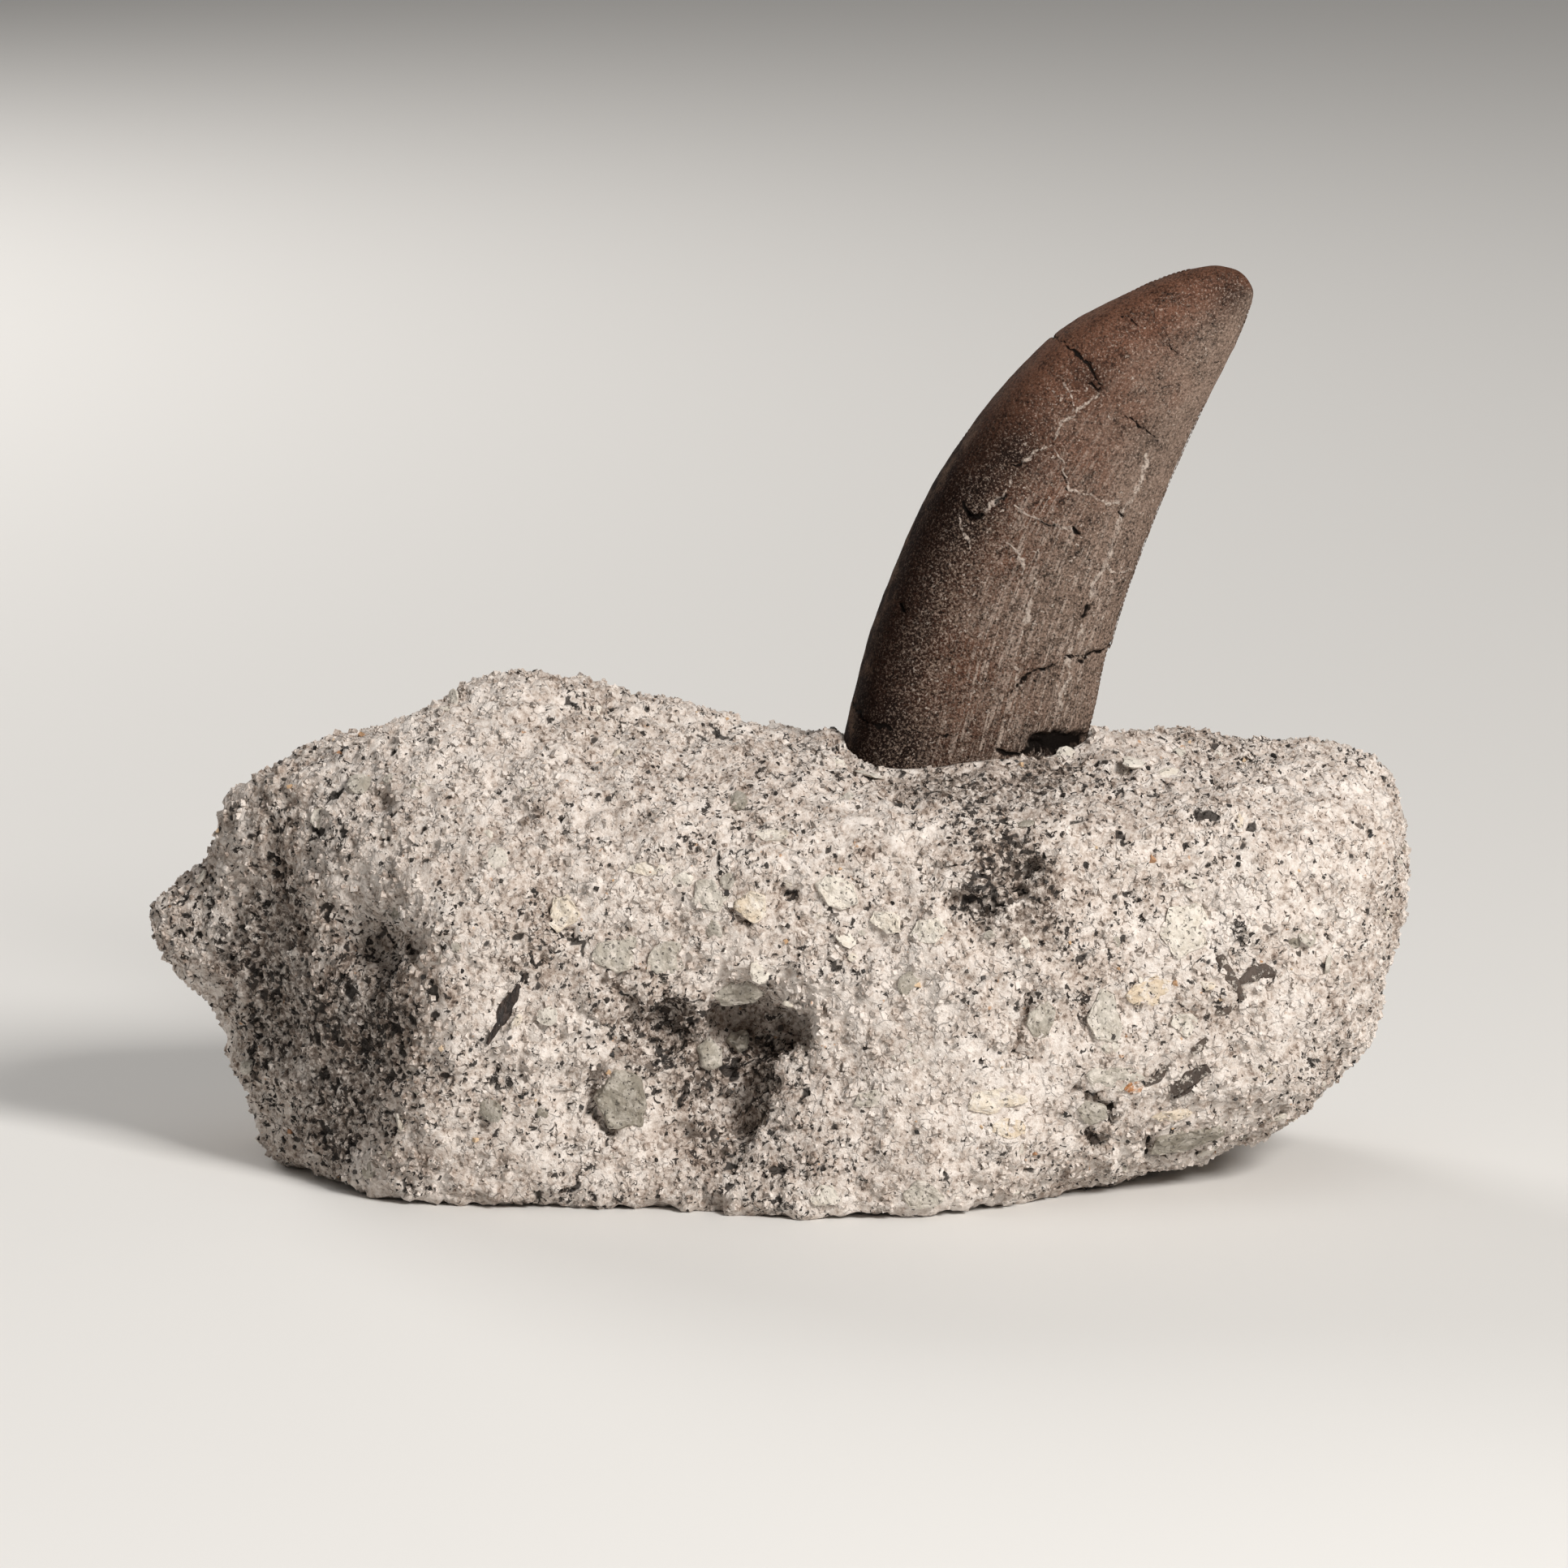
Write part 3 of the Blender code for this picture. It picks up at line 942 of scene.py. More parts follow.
@dataclass
class MatrixBlock:
    """The loose block of pebbly sandstone round the tooth's root.

    Args:
        coarse_cell: Cell of the first closed skin, which wears the flats' edges.
        fine_cell: Cell of the finished skin.
        wear: How many times the first skin is smoothed.
        relief: Height of the break's lumps.
        crumbs: Height of its crumbs.
        crevices: Depth of its crevices.
        pits: Depth of its pits.
        heaps: Lumps that stand out of it.
        hollows: Lumps that fell out of it.
        mounds: Patches pushed outwards, or inwards where negative.
        painted_shade_and_dark_patches: Patches where dark grains and gaps prevail, and painted shade on the
            left face turned from the light, in the hollows and by the tooth's foot; negative ones are painted
            light.
    """

    coarse_cell: float = 1.2
    fine_cell: float = 0.76
    wear: int = 5
    relief: float = 0.9
    crumbs: float = 0.86
    crevices: float = 0.8
    pits: float = 1.0
    heaps: tuple[Lump, ...] = (
        Lump((8.8, -30.8, 25.0), (6.0, 5.4, 9.0), (0, 0, 0), 0.15),  # right of the deep hollow
        Lump((-3.5, -30.6, 35.6), (8.4, 5.0, 5.0), (0, 0, 0), 0.15),  # the brow above it
    )
    hollows: tuple[Lump, ...] = (
        Lump((-2.9, -32.6, 23.8), (6.9, 12.0, 5.8), (0, -4, 0), 0.35),  # the deep hollow
        Lump((-5.4, -32.8, 15.4), (5.2, 8.4, 6.8), (0, 28, 0), 0.35),  # its lower end
        Lump((-13.2, -33.6, 24.4), (4.6, 5.2, 5.2), (0, 24, 0), 0.5),  # broken ground beside it
        Lump((-10.6, -34.0, 9.6), (5.2, 3.8, 3.8), (0, 30, 0), 0.5),
        Lump((-18.8, -36.6, 26.4), (3.2, 4.0, 3.2), (0, 20, 0), 0.5),
        Lump((-22.4, -36.4, 31.4), (3.8, 3.2, 1.5), (0, -22, 0), 0.5),
        Lump((-54.8, -26.2, 34.8), (5.4, 5.4, 4.4), (0, 0, 40), 0.3),  # left-hand dimple
        Lump((-50.0, -31.4, 36.4), (3.6, 2.6, 3.0), (0, 30, 40), 0.4),
        Lump((-54.0, -23.5, 53.0), (4.4, 5.2, 1.9), (0, -20, 20)),  # ledge above it
        Lump((-8.6, -38.0, 1.5), (2.6, 5.0, 3.4), (0, 20, 0)),  # notch in the lower edge
        Lump((32.0, -36.8, 46.4), (4.6, 4.8, 3.4), (0, 35, 0), 0.5),  # dark rough ground
        Lump((27.0, -37.8, 42.0), (4.2, 4.0, 2.4), (0, 25, 0), 0.5),
        Lump((38.0, -13.4, 59.6), (5.0, 3.4, 2.2)),  # gap at the tooth's foot
    )
    crevices_seen: tuple["Crevice", ...] = (
        Crevice(((34.5, 30.2), (33.2, 26.8), (32.0, 22.9)), 0.55, 1.8),
        Crevice(((31.2, 22.4), (35.7, 22.0)), 0.45, 1.3),
        Crevice(((41.0, 17.4), (43.8, 15.2), (45.2, 12.4)), 0.6, 1.6),
        Crevice(((41.9, 10.4), (43.4, 8.8)), 0.7, 1.5),
        Crevice(((-24.2, 19.0), (-24.6, 14.4), (-22.2, 10.4)), 0.7, 1.8),
        Crevice(((49.8, 8.4), (50.6, 6.0), (52.4, 5.0)), 0.6, 1.4),
        Crevice(((0.8, 44.6), (2.2, 43.8)), 0.8, 1.5),
        Crevice(((-6.0, 41.2), (-3.4, 39.6)), 0.5, 1.0),
        Crevice(((41.4, 30.4), (41.6, 26.0)), 0.35, 0.8),
        Crevice(((-30.4, 40.6), (-27.2, 37.6)), 0.45, 1.1),
        Crevice(((6.6, 28.4), (7.4, 26.6)), 0.4, 0.9),
        Crevice(((49.6, 17.2), (51.2, 18.0), (52.6, 19.6)), 0.5, 1.0),
    )
    mounds: tuple[Patch, ...] = (
        Patch((8.0, -7.0, 60.0), 2.2, 1.2),
        Patch((44.5, -7.0, 60.5), 2.4, 1.0),
        Patch((-78.0, -2.5, 33.5), 4.0, -1.2),
        Patch((-77.5, -2.0, 41.0), 3.0, -1.4),
        Patch((-12.0, 38.0, 36.0), 8.0, -1.4),  # scars in the back
        Patch((46.0, 37.0, 24.0), 9.0, -1.6),
        Patch((-50.0, 33.0, 24.0), 11.0, -1.8),
        Patch((14.0, 38.0, 14.0), 7.0, 1.1),
    )
    # Painted shade, with some real dark ground: the rough dark patch, the ground round the tooth's foot and
    # its gap, the hollows and the left face turned from the light. Negative patches are painted light.
    painted_shade_and_dark_patches: tuple[Patch, ...] = (
        Patch((31.6, -35.6, 45.6), 7.0, 1.7),
        Patch((20.0, -21.0, 55.6), 9.0, 0.9),
        Patch((34.0, -21.0, 55.4), 8.0, 0.9),
        Patch((37.0, -13.6, 57.0), 5.0, 1.0),
        Patch((-51.0, -29.0, 27.0), 9.0, 0.6),
        Patch((-60.0, -21.0, 24.0), 14.0, 0.6),
        Patch((-66.0, -12.0, 32.0), 11.0, 0.5),
        Patch((-57.0, -21.0, 10.0), 10.0, 0.8),
        Patch((6.0, -34.0, 24.0), 6.0, -0.6),
        Patch((14.0, -36.0, 28.0), 12.0, -0.5),
        Patch((66.0, -28.0, 39.0), 9.0, -0.25),
        Patch((-82.0, -5.0, 36.0), 9.0, 0.5),
        Patch((-72.0, -8.0, 18.0), 12.0, 0.6),
        Patch((-68.0, -18.0, 46.0), 9.0, 0.15),
        Patch((-34.0, -20.0, 60.0), 14.0, -0.35),
        Patch((20.0, -36.0, 8.0), 12.0, -0.3),
        Patch((-2.0, -27.0, 23.0), 10.0, 0.55),
        Patch((-14.0, -32.0, 25.0), 8.0, 0.65),
        Patch((-21.0, -35.0, 29.5), 5.0, 0.6),
        Patch((-5.0, -30.0, 15.0), 7.5, 1.0),
        Patch((-10.5, -33.0, 9.0), 5.0, 0.6),
        Patch((62.0, -32.0, 28.0), 7.0, 0.35),
        Patch((30.0, -37.0, 18.0), 9.0, -0.35),
        Patch((-53.5, -25.5, 4.5), 4.5, -0.9),
    )

    def build(self, clasts: "Pebbles", tooth: "Tooth") -> bpy.types.Object:
        """Makes the block that stands in for its solid.

        Args:
            clasts: The pebbles that get their seats in it.
            tooth: The tooth, whose nearness keeps the break's roughness and the sand off the rock round its
                foot.

        Returns:
            The finished block.
        """
        block = self._worn_skin()
        for lump in self.heaps:
            lump.heap_on(block)
        for lump in self.hollows:
            lump.cut_from(block)
        self._remesh(block, self.fine_cell, 1)
        points = positions(block.data)
        out = normals(block.data)
        lift = sum(mound.over(points) for mound in self.mounds)
        reposition(block.data, points + out * lift[:, None])
        calm = clasts.settle(block)
        opened = self._open_crevices(block)
        foot = tooth.clearance(positions(block.data))
        store(block.data, "breaks", (1.0 - calm) * smoothstep(0.2, 1.5, foot))
        self._mark(block, calm, foot, opened)
        block = self._broken(block)
        points = positions(block.data)
        points[:, 2] = np.maximum(points[:, 2], 0.0)
        reposition(block.data, points)
        block.data.materials.clear()
        block.data.materials.append(SandstoneFinish().material())
        return block

    def _open_crevices(self, block: bpy.types.Object) -> np.ndarray:
        """Sinks the narrow gaps into the front face, and says how open each point is."""
        points, out = positions(block.data), normals(block.data)
        frayed = points[:, (0, 2)] + (clouds(points, 3.0, 3, 5.0) * 0.9)[:, None]
        sink = np.zeros(len(points))
        for crevice in self.crevices_seen:
            gap = off_path(frayed, crevice.through) / crevice.half_width
            sink = np.maximum(sink, crevice.depth * smoothstep(2.0, 0.2, gap) * (points[:, 1] < -15.0))
        reposition(block.data, points - out * sink[:, None])
        return np.clip(sink, 0.0, 1.0)

    def dress(self, block: bpy.types.Object) -> None:
        """Ties the block to the frame."""
        block.data.shade_smooth()
        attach(block, BODY)
        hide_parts("matrix")

    def _worn_skin(self) -> bpy.types.Object:
        """The solid's outside as a fine, worn skin, with its pocket filled."""
        shell = merged("matrix")
        root = merged("tooth")
        tree = BVHTree.FromBMesh(root)
        pocket = []
        for face in shell.faces:
            _, facing, _, gap = tree.find_nearest(face.calc_center_median())
            if gap < 0.8 * MM and face.normal.dot(facing) < -0.5:
                pocket.append(face)
        bmesh.ops.delete(shell, geom=pocket, context="FACES")
        rim = [edge for edge in shell.edges if edge.is_boundary]
        filled = bmesh.ops.holes_fill(shell, edges=rim, sides=0)
        bmesh.ops.triangulate(shell, faces=filled["faces"])
        mesh = bpy.data.meshes.new("matrix_skin")
        shell.to_mesh(mesh)
        shell.free()
        root.free()
        block = linked("sandstone_matrix", mesh)
        self._remesh(block, self.coarse_cell, self.wear)
        return block

    @staticmethod
    def _remesh(block: bpy.types.Object, cell: float, smoothings: int) -> None:
        """Draws the block's skin anew with even cells, and smooths it."""
        even = block.modifiers.new("even_cells", "REMESH")
        even.mode = "VOXEL"
        even.voxel_size = cell * MM
        worn = block.modifiers.new("worn", "SMOOTH")
        worn.factor = 0.5
        worn.iterations = smoothings
        applied(block)

    def _broken(self, block: bpy.types.Object) -> bpy.types.Object:
        """Gives the skin the lumps, crumbs and crevices of a fresh break."""
        sizes = {"Lumps": self.relief, "Crumbs": self.crumbs, "Crevices": self.crevices, "Pits": self.pits}
        tree = ShapeTree("broken_rock", sizes)
        lumps = (tree.noise(0.10, 5.0, 0.60) - 0.5) * 5.6 * tree.size("Lumps")
        crumbs = (tree.noise(0.42, 4.0, 0.68) - 0.5) * 4.4 * tree.size("Crumbs")
        open_gaps = 1.0 - tree.gaps(tree.warped(3.0, 0.25), 0.21).ramp(0.0, 0.26)
        crevices = open_gaps * tree.noise(0.06, 2.0).ramp(0.45, 0.62) * tree.size("Crevices")
        pits = tree.specks(0.42, tree.attribute("painted_shade_and_dark_ground") * 0.07 + 0.025, 0.05)
        height = (lumps + crumbs - crevices - pits * tree.size("Pits")) * tree.attribute("breaks") * MM
        marked = tree.named(tree.host, "pitted", pits * tree.attribute("breaks"), "POINT")
        out = tree.node("GeometryNodeInputNormal").outputs[0]
        inputs = {0: marked, "Offset": tree.scaled(out, height)}
        moved = tree.node("GeometryNodeSetPosition", None, inputs).outputs[0]
        tree.end(moved, bpy.data.materials.new("bare"))
        rough = tree.grow(block, "sandstone_matrix", sizes)
        bpy.data.objects.remove(block)
        rough.name = "sandstone_matrix"
        return rough

    def _mark(
        self, block: bpy.types.Object, calm: np.ndarray, foot: np.ndarray, opened: np.ndarray
    ) -> None:
        """Stores where sand lies, and the dark ground with its painted shade and light."""
        points, out = positions(block.data), normals(block.data)
        seen = np.maximum(-out[:, 1], out[:, 2])
        cover = 0.42 + 0.58 * smoothstep(-0.35, 0.1, seen)
        cover *= smoothstep(0.6, 2.0, points[:, 2]) * smoothstep(0.25, 0.5, foot)
        cover *= 1.0 - 0.86 * smoothstep(0.50, 0.72, calm)
        cover *= 1.0 - 0.85 * opened
        painted_shade_and_dark_ground = sum(patch.over(points) for patch in self.painted_shade_and_dark_patches)
        patches = clouds(points, 16.0, 3, 7.0)
        store(block.data, "sand", cover)
        # Painted shade: open crevices also count as shaded ground, so they darken in colour as well as in
        # depth.
        store(block.data, "painted_shade_and_dark_ground", np.clip(painted_shade_and_dark_ground + patches * 0.5 + opened, -0.5, 1.0))


# ------------------------------------------------------------------------- pebbles


@dataclass
class Pebbles:
    """The pebbles broken through in the rock's faces, and the small ones about them.

    Args:
        clasts: The ones that lie in known places.
        moat: How deep the rock is sunk round a pebble's rim.
        small_per_mm2: How many small ones there are.
        smallest: The smallest one's half-length.
        largest: The largest one's half-length.
    """

    clasts: tuple[Clast, ...] = (
        Clast((-20.3, 14.9), 3.7, 4.7, -12, 0.31, 1.5),  # the large greenish one
        Clast((-4.6, 29.6), 3.9, 2.5, -8, 0.38, 1.4),  # in the deep hollow's roof
        Clast((-8.6, 20.6), 1.9, 2.6, -15, 0.42, 1.2),  # in the hollow
        Clast((-4.7, 21.4), 1.8, 1.7, 10, 0.36, 1.0),
        Clast((-3.0, 42.1), 2.5, 2.2, 20, 0.76, 0.7),
        Clast((8.4, 43.9), 3.2, 2.3, 28, 0.60, 0.8),
        Clast((15.0, 40.2), 2.4, 1.6, 10, 0.66, 0.5),
        Clast((20.5, 39.1), 2.6, 1.8, -20, 0.64, 0.4),
        Clast((-0.3, 51.3), 2.8, 1.1, 0, 0.67, 0.3),
        Clast((-16.7, 46.9), 2.8, 1.1, -6, 0.67, 0.3),
        Clast((-8.7, 43.4), 2.6, 2.2, 30, 0.50, 0.4),
        Clast((-21.1, 35.4), 3.4, 2.6, -30, 0.42, 0.4),
        Clast((-14.6, 34.6), 2.6, 3.0, 35, 0.46, 0.5),
        Clast((-28.1, 40.7), 2.3, 2.6, 15, 0.72, 0.5),
        Clast((17.8, 22.5), 2.8, 1.6, 8, 0.52, 0.2),
        Clast((13.0, 16.3), 2.8, 1.2, -10, 0.44, 0.2),
        Clast((29.7, 16.2), 4.6, 1.7, -4, 0.72, 0.2),
        Clast((31.4, 12.4), 2.8, 1.4, 8, 0.75, 0.3),
        Clast((6.8, 3.4), 2.2, 1.6, 0, 0.58, 0.5),
        Clast((19.8, 3.4), 3.0, 2.2, 20, 0.44, 0.4),
        Clast((35.6, 26.8), 2.0, 2.9, 18, 0.38, 0.7),
        Clast((44.3, 26.9), 2.4, 4.0, -6, 0.50, 0.5),
        Clast((50.3, 30.0), 3.7, 2.1, -6, 0.78, 0.3),
        Clast((54.9, 25.6), 1.9, 1.7, 20, 0.56, 0.4),
        Clast((55.0, 38.4), 3.4, 4.0, 30, 0.62, 0.2),
        Clast((45.4, 18.5), 4.4, 2.0, 6, 0.43, 0.3),
        Clast((42.6, 13.6), 2.2, 1.9, 30, 0.36, 0.6),
        Clast((55.4, 8.4), 5.8, 2.6, -16, 0.28, 0.9),
        Clast((53.5, 12.3), 2.9, 1.3, -6, 0.76, 0.2),
        Clast((48.2, 17.0), 1.4, 1.1, 0, 0.97, 0.4),
    )
    moat: float = 0.3
    small_per_mm2: float = 0.006
    smallest: float = 0.6
    largest: float = 2.2
    _places: list[tuple[Clast, Vector, Matrix]] = field(default_factory=list)

    def settle(self, block: bpy.types.Object) -> np.ndarray:
        """Finds each pebble's place and sinks the rock round its rim.

        Args:
            block: The smooth block; its mesh is changed.

        Returns:
            For each point of the block, 1 in the middle of a pebble, 0.5 at its rim.
        """
        shell = bmesh.new()
        shell.from_mesh(block.data)
        tree = BVHTree.FromBMesh(shell)
        shell.free()
        points, out = positions(block.data), normals(block.data)
        calm, sink = np.zeros(len(points)), np.zeros(len(points))
        for clast in self.clasts:
            start = Vector((clast.at[0], WELL_IN_FRONT, clast.at[1])) * MM
            spot, facing, _, _ = tree.ray_cast(start, Vector((0, 1, 0)))
            frame_of = self._frame(facing, clast.lean)
            self._places.append((clast, spot / MM, frame_of))
            local = (points - np.array(spot / MM)) @ np.array(frame_of)
            flat = np.hypot(local[:, 0] / clast.half_width, local[:, 1] / clast.half_height)
            near = np.abs(local[:, 2]) < 4.0
            calm = np.maximum(calm, near * np.clip(1.0 - flat / 2, 0.0, 1.0))
            sink = np.maximum(sink, near * np.exp(-(((flat - 1.12) / 0.16) ** 2)))
        reposition(block.data, points - out * (sink * self.moat)[:, None])
        return calm

    @staticmethod
    def _frame(facing: Vector, lean: float) -> Matrix:
        """Axes of a pebble: across, up the face, and out of it."""
        up = Vector((0, 0, 1))
        across = up.cross(facing).normalized() if abs(facing.z) < 0.95 else Vector((1, 0, 0))
        up = facing.cross(across).normalized()
        turn = Matrix.Rotation(math.radians(-lean), 3, "Z")
        return Matrix((across, up, facing)).transposed() @ turn

    def build(self) -> bpy.types.Object:
        """Makes the placed pebbles as one piece."""
        points: list[Point] = []
        faces: list[tuple[int, ...]] = []
        tints: list[float] = []
        for number, (clast, spot, axes) in enumerate(self._places):
            shape = self._shape(clast, number)
            first = len(points)
            for vertex in shape.verts:
                points.append(tuple(spot + axes @ vertex.co))
                tints.append(clast.tint)
            faces += [tuple(first + v.index for v in face.verts) for face in shape.faces]
            shape.free()
        mesh = from_faces("pebbles", points, faces)
        store(mesh, "tint", np.array(tints))
        mesh.materials.append(ClastFinish().material())
        return linked("pebbles", mesh)

    @staticmethod
    def _shape(clast: Clast, number: int) -> bmesh.types.BMesh:
        """One pebble in its own axes: an angular lump, broken flat on top."""
        shell = bmesh.new()
        bmesh.ops.create_icosphere(shell, subdivisions=4, radius=1.0)
        depth = 0.7 * min(clast.half_width, clast.half_height)
        flats = [
            (number * 2.4 + side * 1.13, 0.80 + 0.09 * math.sin(number * 5 + side * 3))
            for side in range(6)
        ]
        for vertex in shell.verts:
            seed = Vector((number * 7.3, 0, 0))
            wave = cloud.fractal(vertex.co * 1.1 + seed, 1.0, 2.0, 4)
            across = math.atan2(vertex.co.y, vertex.co.x)
            trim = min([1.0, *(reach / max(math.cos(across - turn), 0.1) for turn, reach in flats)])
            x, y = vertex.co.x * clast.half_width * trim, vertex.co.y * clast.half_height * trim
            shape = Vector((x, y, vertex.co.z * depth)) * (1.06 + 0.15 * wave)
            ripple = cloud.fractal(shape * 0.7 + seed, 1.0, 2.0, 4)
            tilt = 0.07 * shape.x * math.sin(number) + 0.07 * shape.y * math.cos(number * 2)
            roof = clast.rise * 0.8 - 0.25 + 0.4 * ripple + tilt
            if shape.z > roof:
                shape.z = roof + 0.12 * (shape.z - roof)
            vertex.co = shape
        return shell

    def scatter(self, block: bpy.types.Object) -> bpy.types.Object:
        """Grows the small pebbles all over the block, by Geometry Nodes."""
        sizes = {
            "Per square millimetre": self.small_per_mm2,
            "Smallest": self.smallest,
            "Largest": self.largest,
        }
        tree = ShapeTree("small_pebbles", sizes)
        clear = 1.0 - tree.attribute("painted_shade_and_dark_ground").ramp(0.2, 0.7)
        density = tree.attribute("sand") * clear * tree.size("Per square millimetre") / MM**2
        inputs = {"Mesh": tree.host, "Density": density, "Seed": 4}
        settings = {"distribute_method": "RANDOM"}
        spots = tree.node("GeometryNodeDistributePointsOnFaces", settings, inputs)
        inputs = {"Radius": 1.0, "Subdivisions": 2}
        ball = tree.node("GeometryNodeMeshIcoSphere", None, inputs).outputs[0]
        turn = tree.random((0.0, 0.0, 0.0), (0.2, 0.2, 2 * math.pi), 5, "FLOAT_VECTOR")
        turn = tree.node("FunctionNodeEulerToRotation", None, {0: turn}).outputs[0]
        inputs = {0: spots.outputs["Rotation"], 1: turn}
        settings = {"rotation_space": "LOCAL"}
        turn = tree.node("FunctionNodeRotateRotation", settings, inputs).outputs[0]
        draw = Value(tree, tree.random(0.0, 1.0, 6))
        reach = (tree.size("Smallest") + (tree.size("Largest") - tree.size("Smallest")) * draw**2.2) * MM
        stretch = tree.random((0.8, 0.6, 0.12), (1.2, 1.0, 0.30), 7, "FLOAT_VECTOR")
        inputs = {
            "Points": spots.outputs["Points"],
            "Instance": ball,
            "Rotation": turn,
            "Scale": tree.scaled(stretch, reach),
        }
        placed = tree.node("GeometryNodeInstanceOnPoints", None, inputs).outputs[0]
        placed = tree.named(placed, "tint", tree.random(0.30, 0.72, 8))
        jitter = tree.shaken(0.9, 0.5)
        tree.end(placed, ClastFinish().material(), jitter)
        return tree.grow(block, "small_pebbles", sizes)


# ---------------------------------------------------------------------------- sand


@dataclass(frozen=True)
class Mineral:
    """One kind of sand grain: how many there are, how large, and how they look.

    Args:
        name: The piece's name.
        per_mm2: Grains to the square millimetre of rock.
        smallest: The smallest grain's side in millimetres.
        largest: The largest grain's side in millimetres.
        likes_shade_and_dark_ground: How much thicker they lie on dark ground and painted shade.
        seed: Seed of their places and shapes.
        finish: Their finish.
    """

    name: str
    per_mm2: float
    smallest: float
    largest: float
    likes_shade_and_dark_ground: float
    seed: int
    finish: "GrainFinish | SandstoneFinish"

    def material(self) -> bpy.types.Material:
        """The grains' material."""
        if isinstance(self.finish, SandstoneFinish):
            return self.finish.material(self.name, loose=True)
        return self.finish.material()


@dataclass
class SandCover:
    """The loose-looking grains that stand out of the rock's skin.

    Args:
        minerals: The kinds of grain, each a piece of its own.
    """

    minerals: tuple[Mineral, ...] = (
        # Dark grains gather on dark ground and on the painted shade, and pale ones thin out there, which
        # deepens the painted shade.
        Mineral("fine_sand", 0.49, 0.22, 0.58, -0.3, 11, SandstoneFinish()),
        Mineral("coarse_sand", 0.34, 0.38, 0.95, -0.2, 12, SandstoneFinish()),
        Mineral("dark_sand", 0.07, 0.20, 0.60, 1.9, 13, GrainFinish("dark_grain", (
            (0.0, (0.010, 0.008, 0.007)),
            (0.6, (0.040, 0.033, 0.028)),
            (0.9, (0.12, 0.10, 0.085)),
            (1.0, (0.24, 0.20, 0.17)),
        ), 0.65)),
        Mineral("rusty_sand", 0.004, 0.25, 0.75, 0.0, 14, GrainFinish("rusty_grain", (
            (0.0, (0.34, 0.16, 0.08)),
            (0.5, (0.54, 0.36, 0.21)),
            (1.0, (0.70, 0.54, 0.37)),
        ), 0.7)),
    )

    def build(self, block: bpy.types.Object) -> list[bpy.types.Object]:
        """Grows each mineral's grains over the block.

        Args:
            block: The finished block, with its "sand" and "gloom" numbers.

        Returns:
            One piece for each mineral.
        """
        return [self._grown(block, mineral) for mineral in self.minerals]

    @staticmethod
    def _grown(block: bpy.types.Object, mineral: Mineral) -> bpy.types.Object:
        """One mineral's grains, by Geometry Nodes."""
        sizes = {
            "Per square millimetre": mineral.per_mm2,
            "Smallest": mineral.smallest,
            "Largest": mineral.largest,
            "Likes shade and dark ground": mineral.likes_shade_and_dark_ground,
            "Leaves pits": 0.9 if mineral.likes_shade_and_dark_ground < 0 else 0.0,
        }
        tree = ShapeTree(mineral.name, sizes)
        painted_shade_and_dark_ground = 1.0 + tree.attribute("painted_shade_and_dark_ground") * tree.size("Likes shade and dark ground")
        cover = tree.attribute("sand") * tree.size("Per square millimetre") / MM**2
        bare = 1.0 - tree.attribute("pitted") * tree.size("Leaves pits")
        inputs = {"Mesh": tree.host, "Density": cover * painted_shade_and_dark_ground * bare, "Seed": mineral.seed}
        settings = {"distribute_method": "RANDOM"}
        spots = tree.node("GeometryNodeDistributePointsOnFaces", settings, inputs)
        cube = tree.node("GeometryNodeMeshCube", None, {"Size": (1.0, 1.0, 1.0)}).outputs[0]
        whole = 2 * math.pi
        spin = tree.random((0.0, 0.0, 0.0), (whole, whole, whole), mineral.seed + 20, "FLOAT_VECTOR")
        turn = tree.node("FunctionNodeEulerToRotation", None, {0: spin}).outputs[0]
        draw = Value(tree, tree.random(0.0, 1.0, mineral.seed + 40))
        side = (tree.size("Smallest") + (tree.size("Largest") - tree.size("Smallest")) * draw**1.8) * MM
        stretch = tree.random((0.7, 0.7, 0.7), (1.2, 1.2, 1.2), mineral.seed + 60, "FLOAT_VECTOR")
        inputs = {
            "Points": spots.outputs["Points"],
            "Instance": cube,
            "Rotation": turn,
            "Scale": tree.scaled(stretch, side),
        }
        placed = tree.node("GeometryNodeInstanceOnPoints", None, inputs).outputs[0]
        placed = tree.named(placed, "tone", tree.random(0.0, 1.0, mineral.seed + 80))
        tree.end(placed, mineral.material(), tree.shaken(2.2, 0.35))
        return tree.grow(block, mineral.name, sizes)


# ------------------------------------------------------------------- plant remains


@dataclass(frozen=True)
class Splinter:
    """A flat sliver of carbonised plant that lies in the rock's front face.

    Args:
        through: (x, z) points along it in millimetres, seen from the front.
        widths: Its width at each of those points.
        ashen: How far it is greyed and strewn with sand, 0 to 1.
        thickness: Its thickness in millimetres.
    """

    through: tuple[FlatPoint, ...]
    widths: tuple[float, ...]
    ashen: float = 0.8
    thickness: float = 0.8


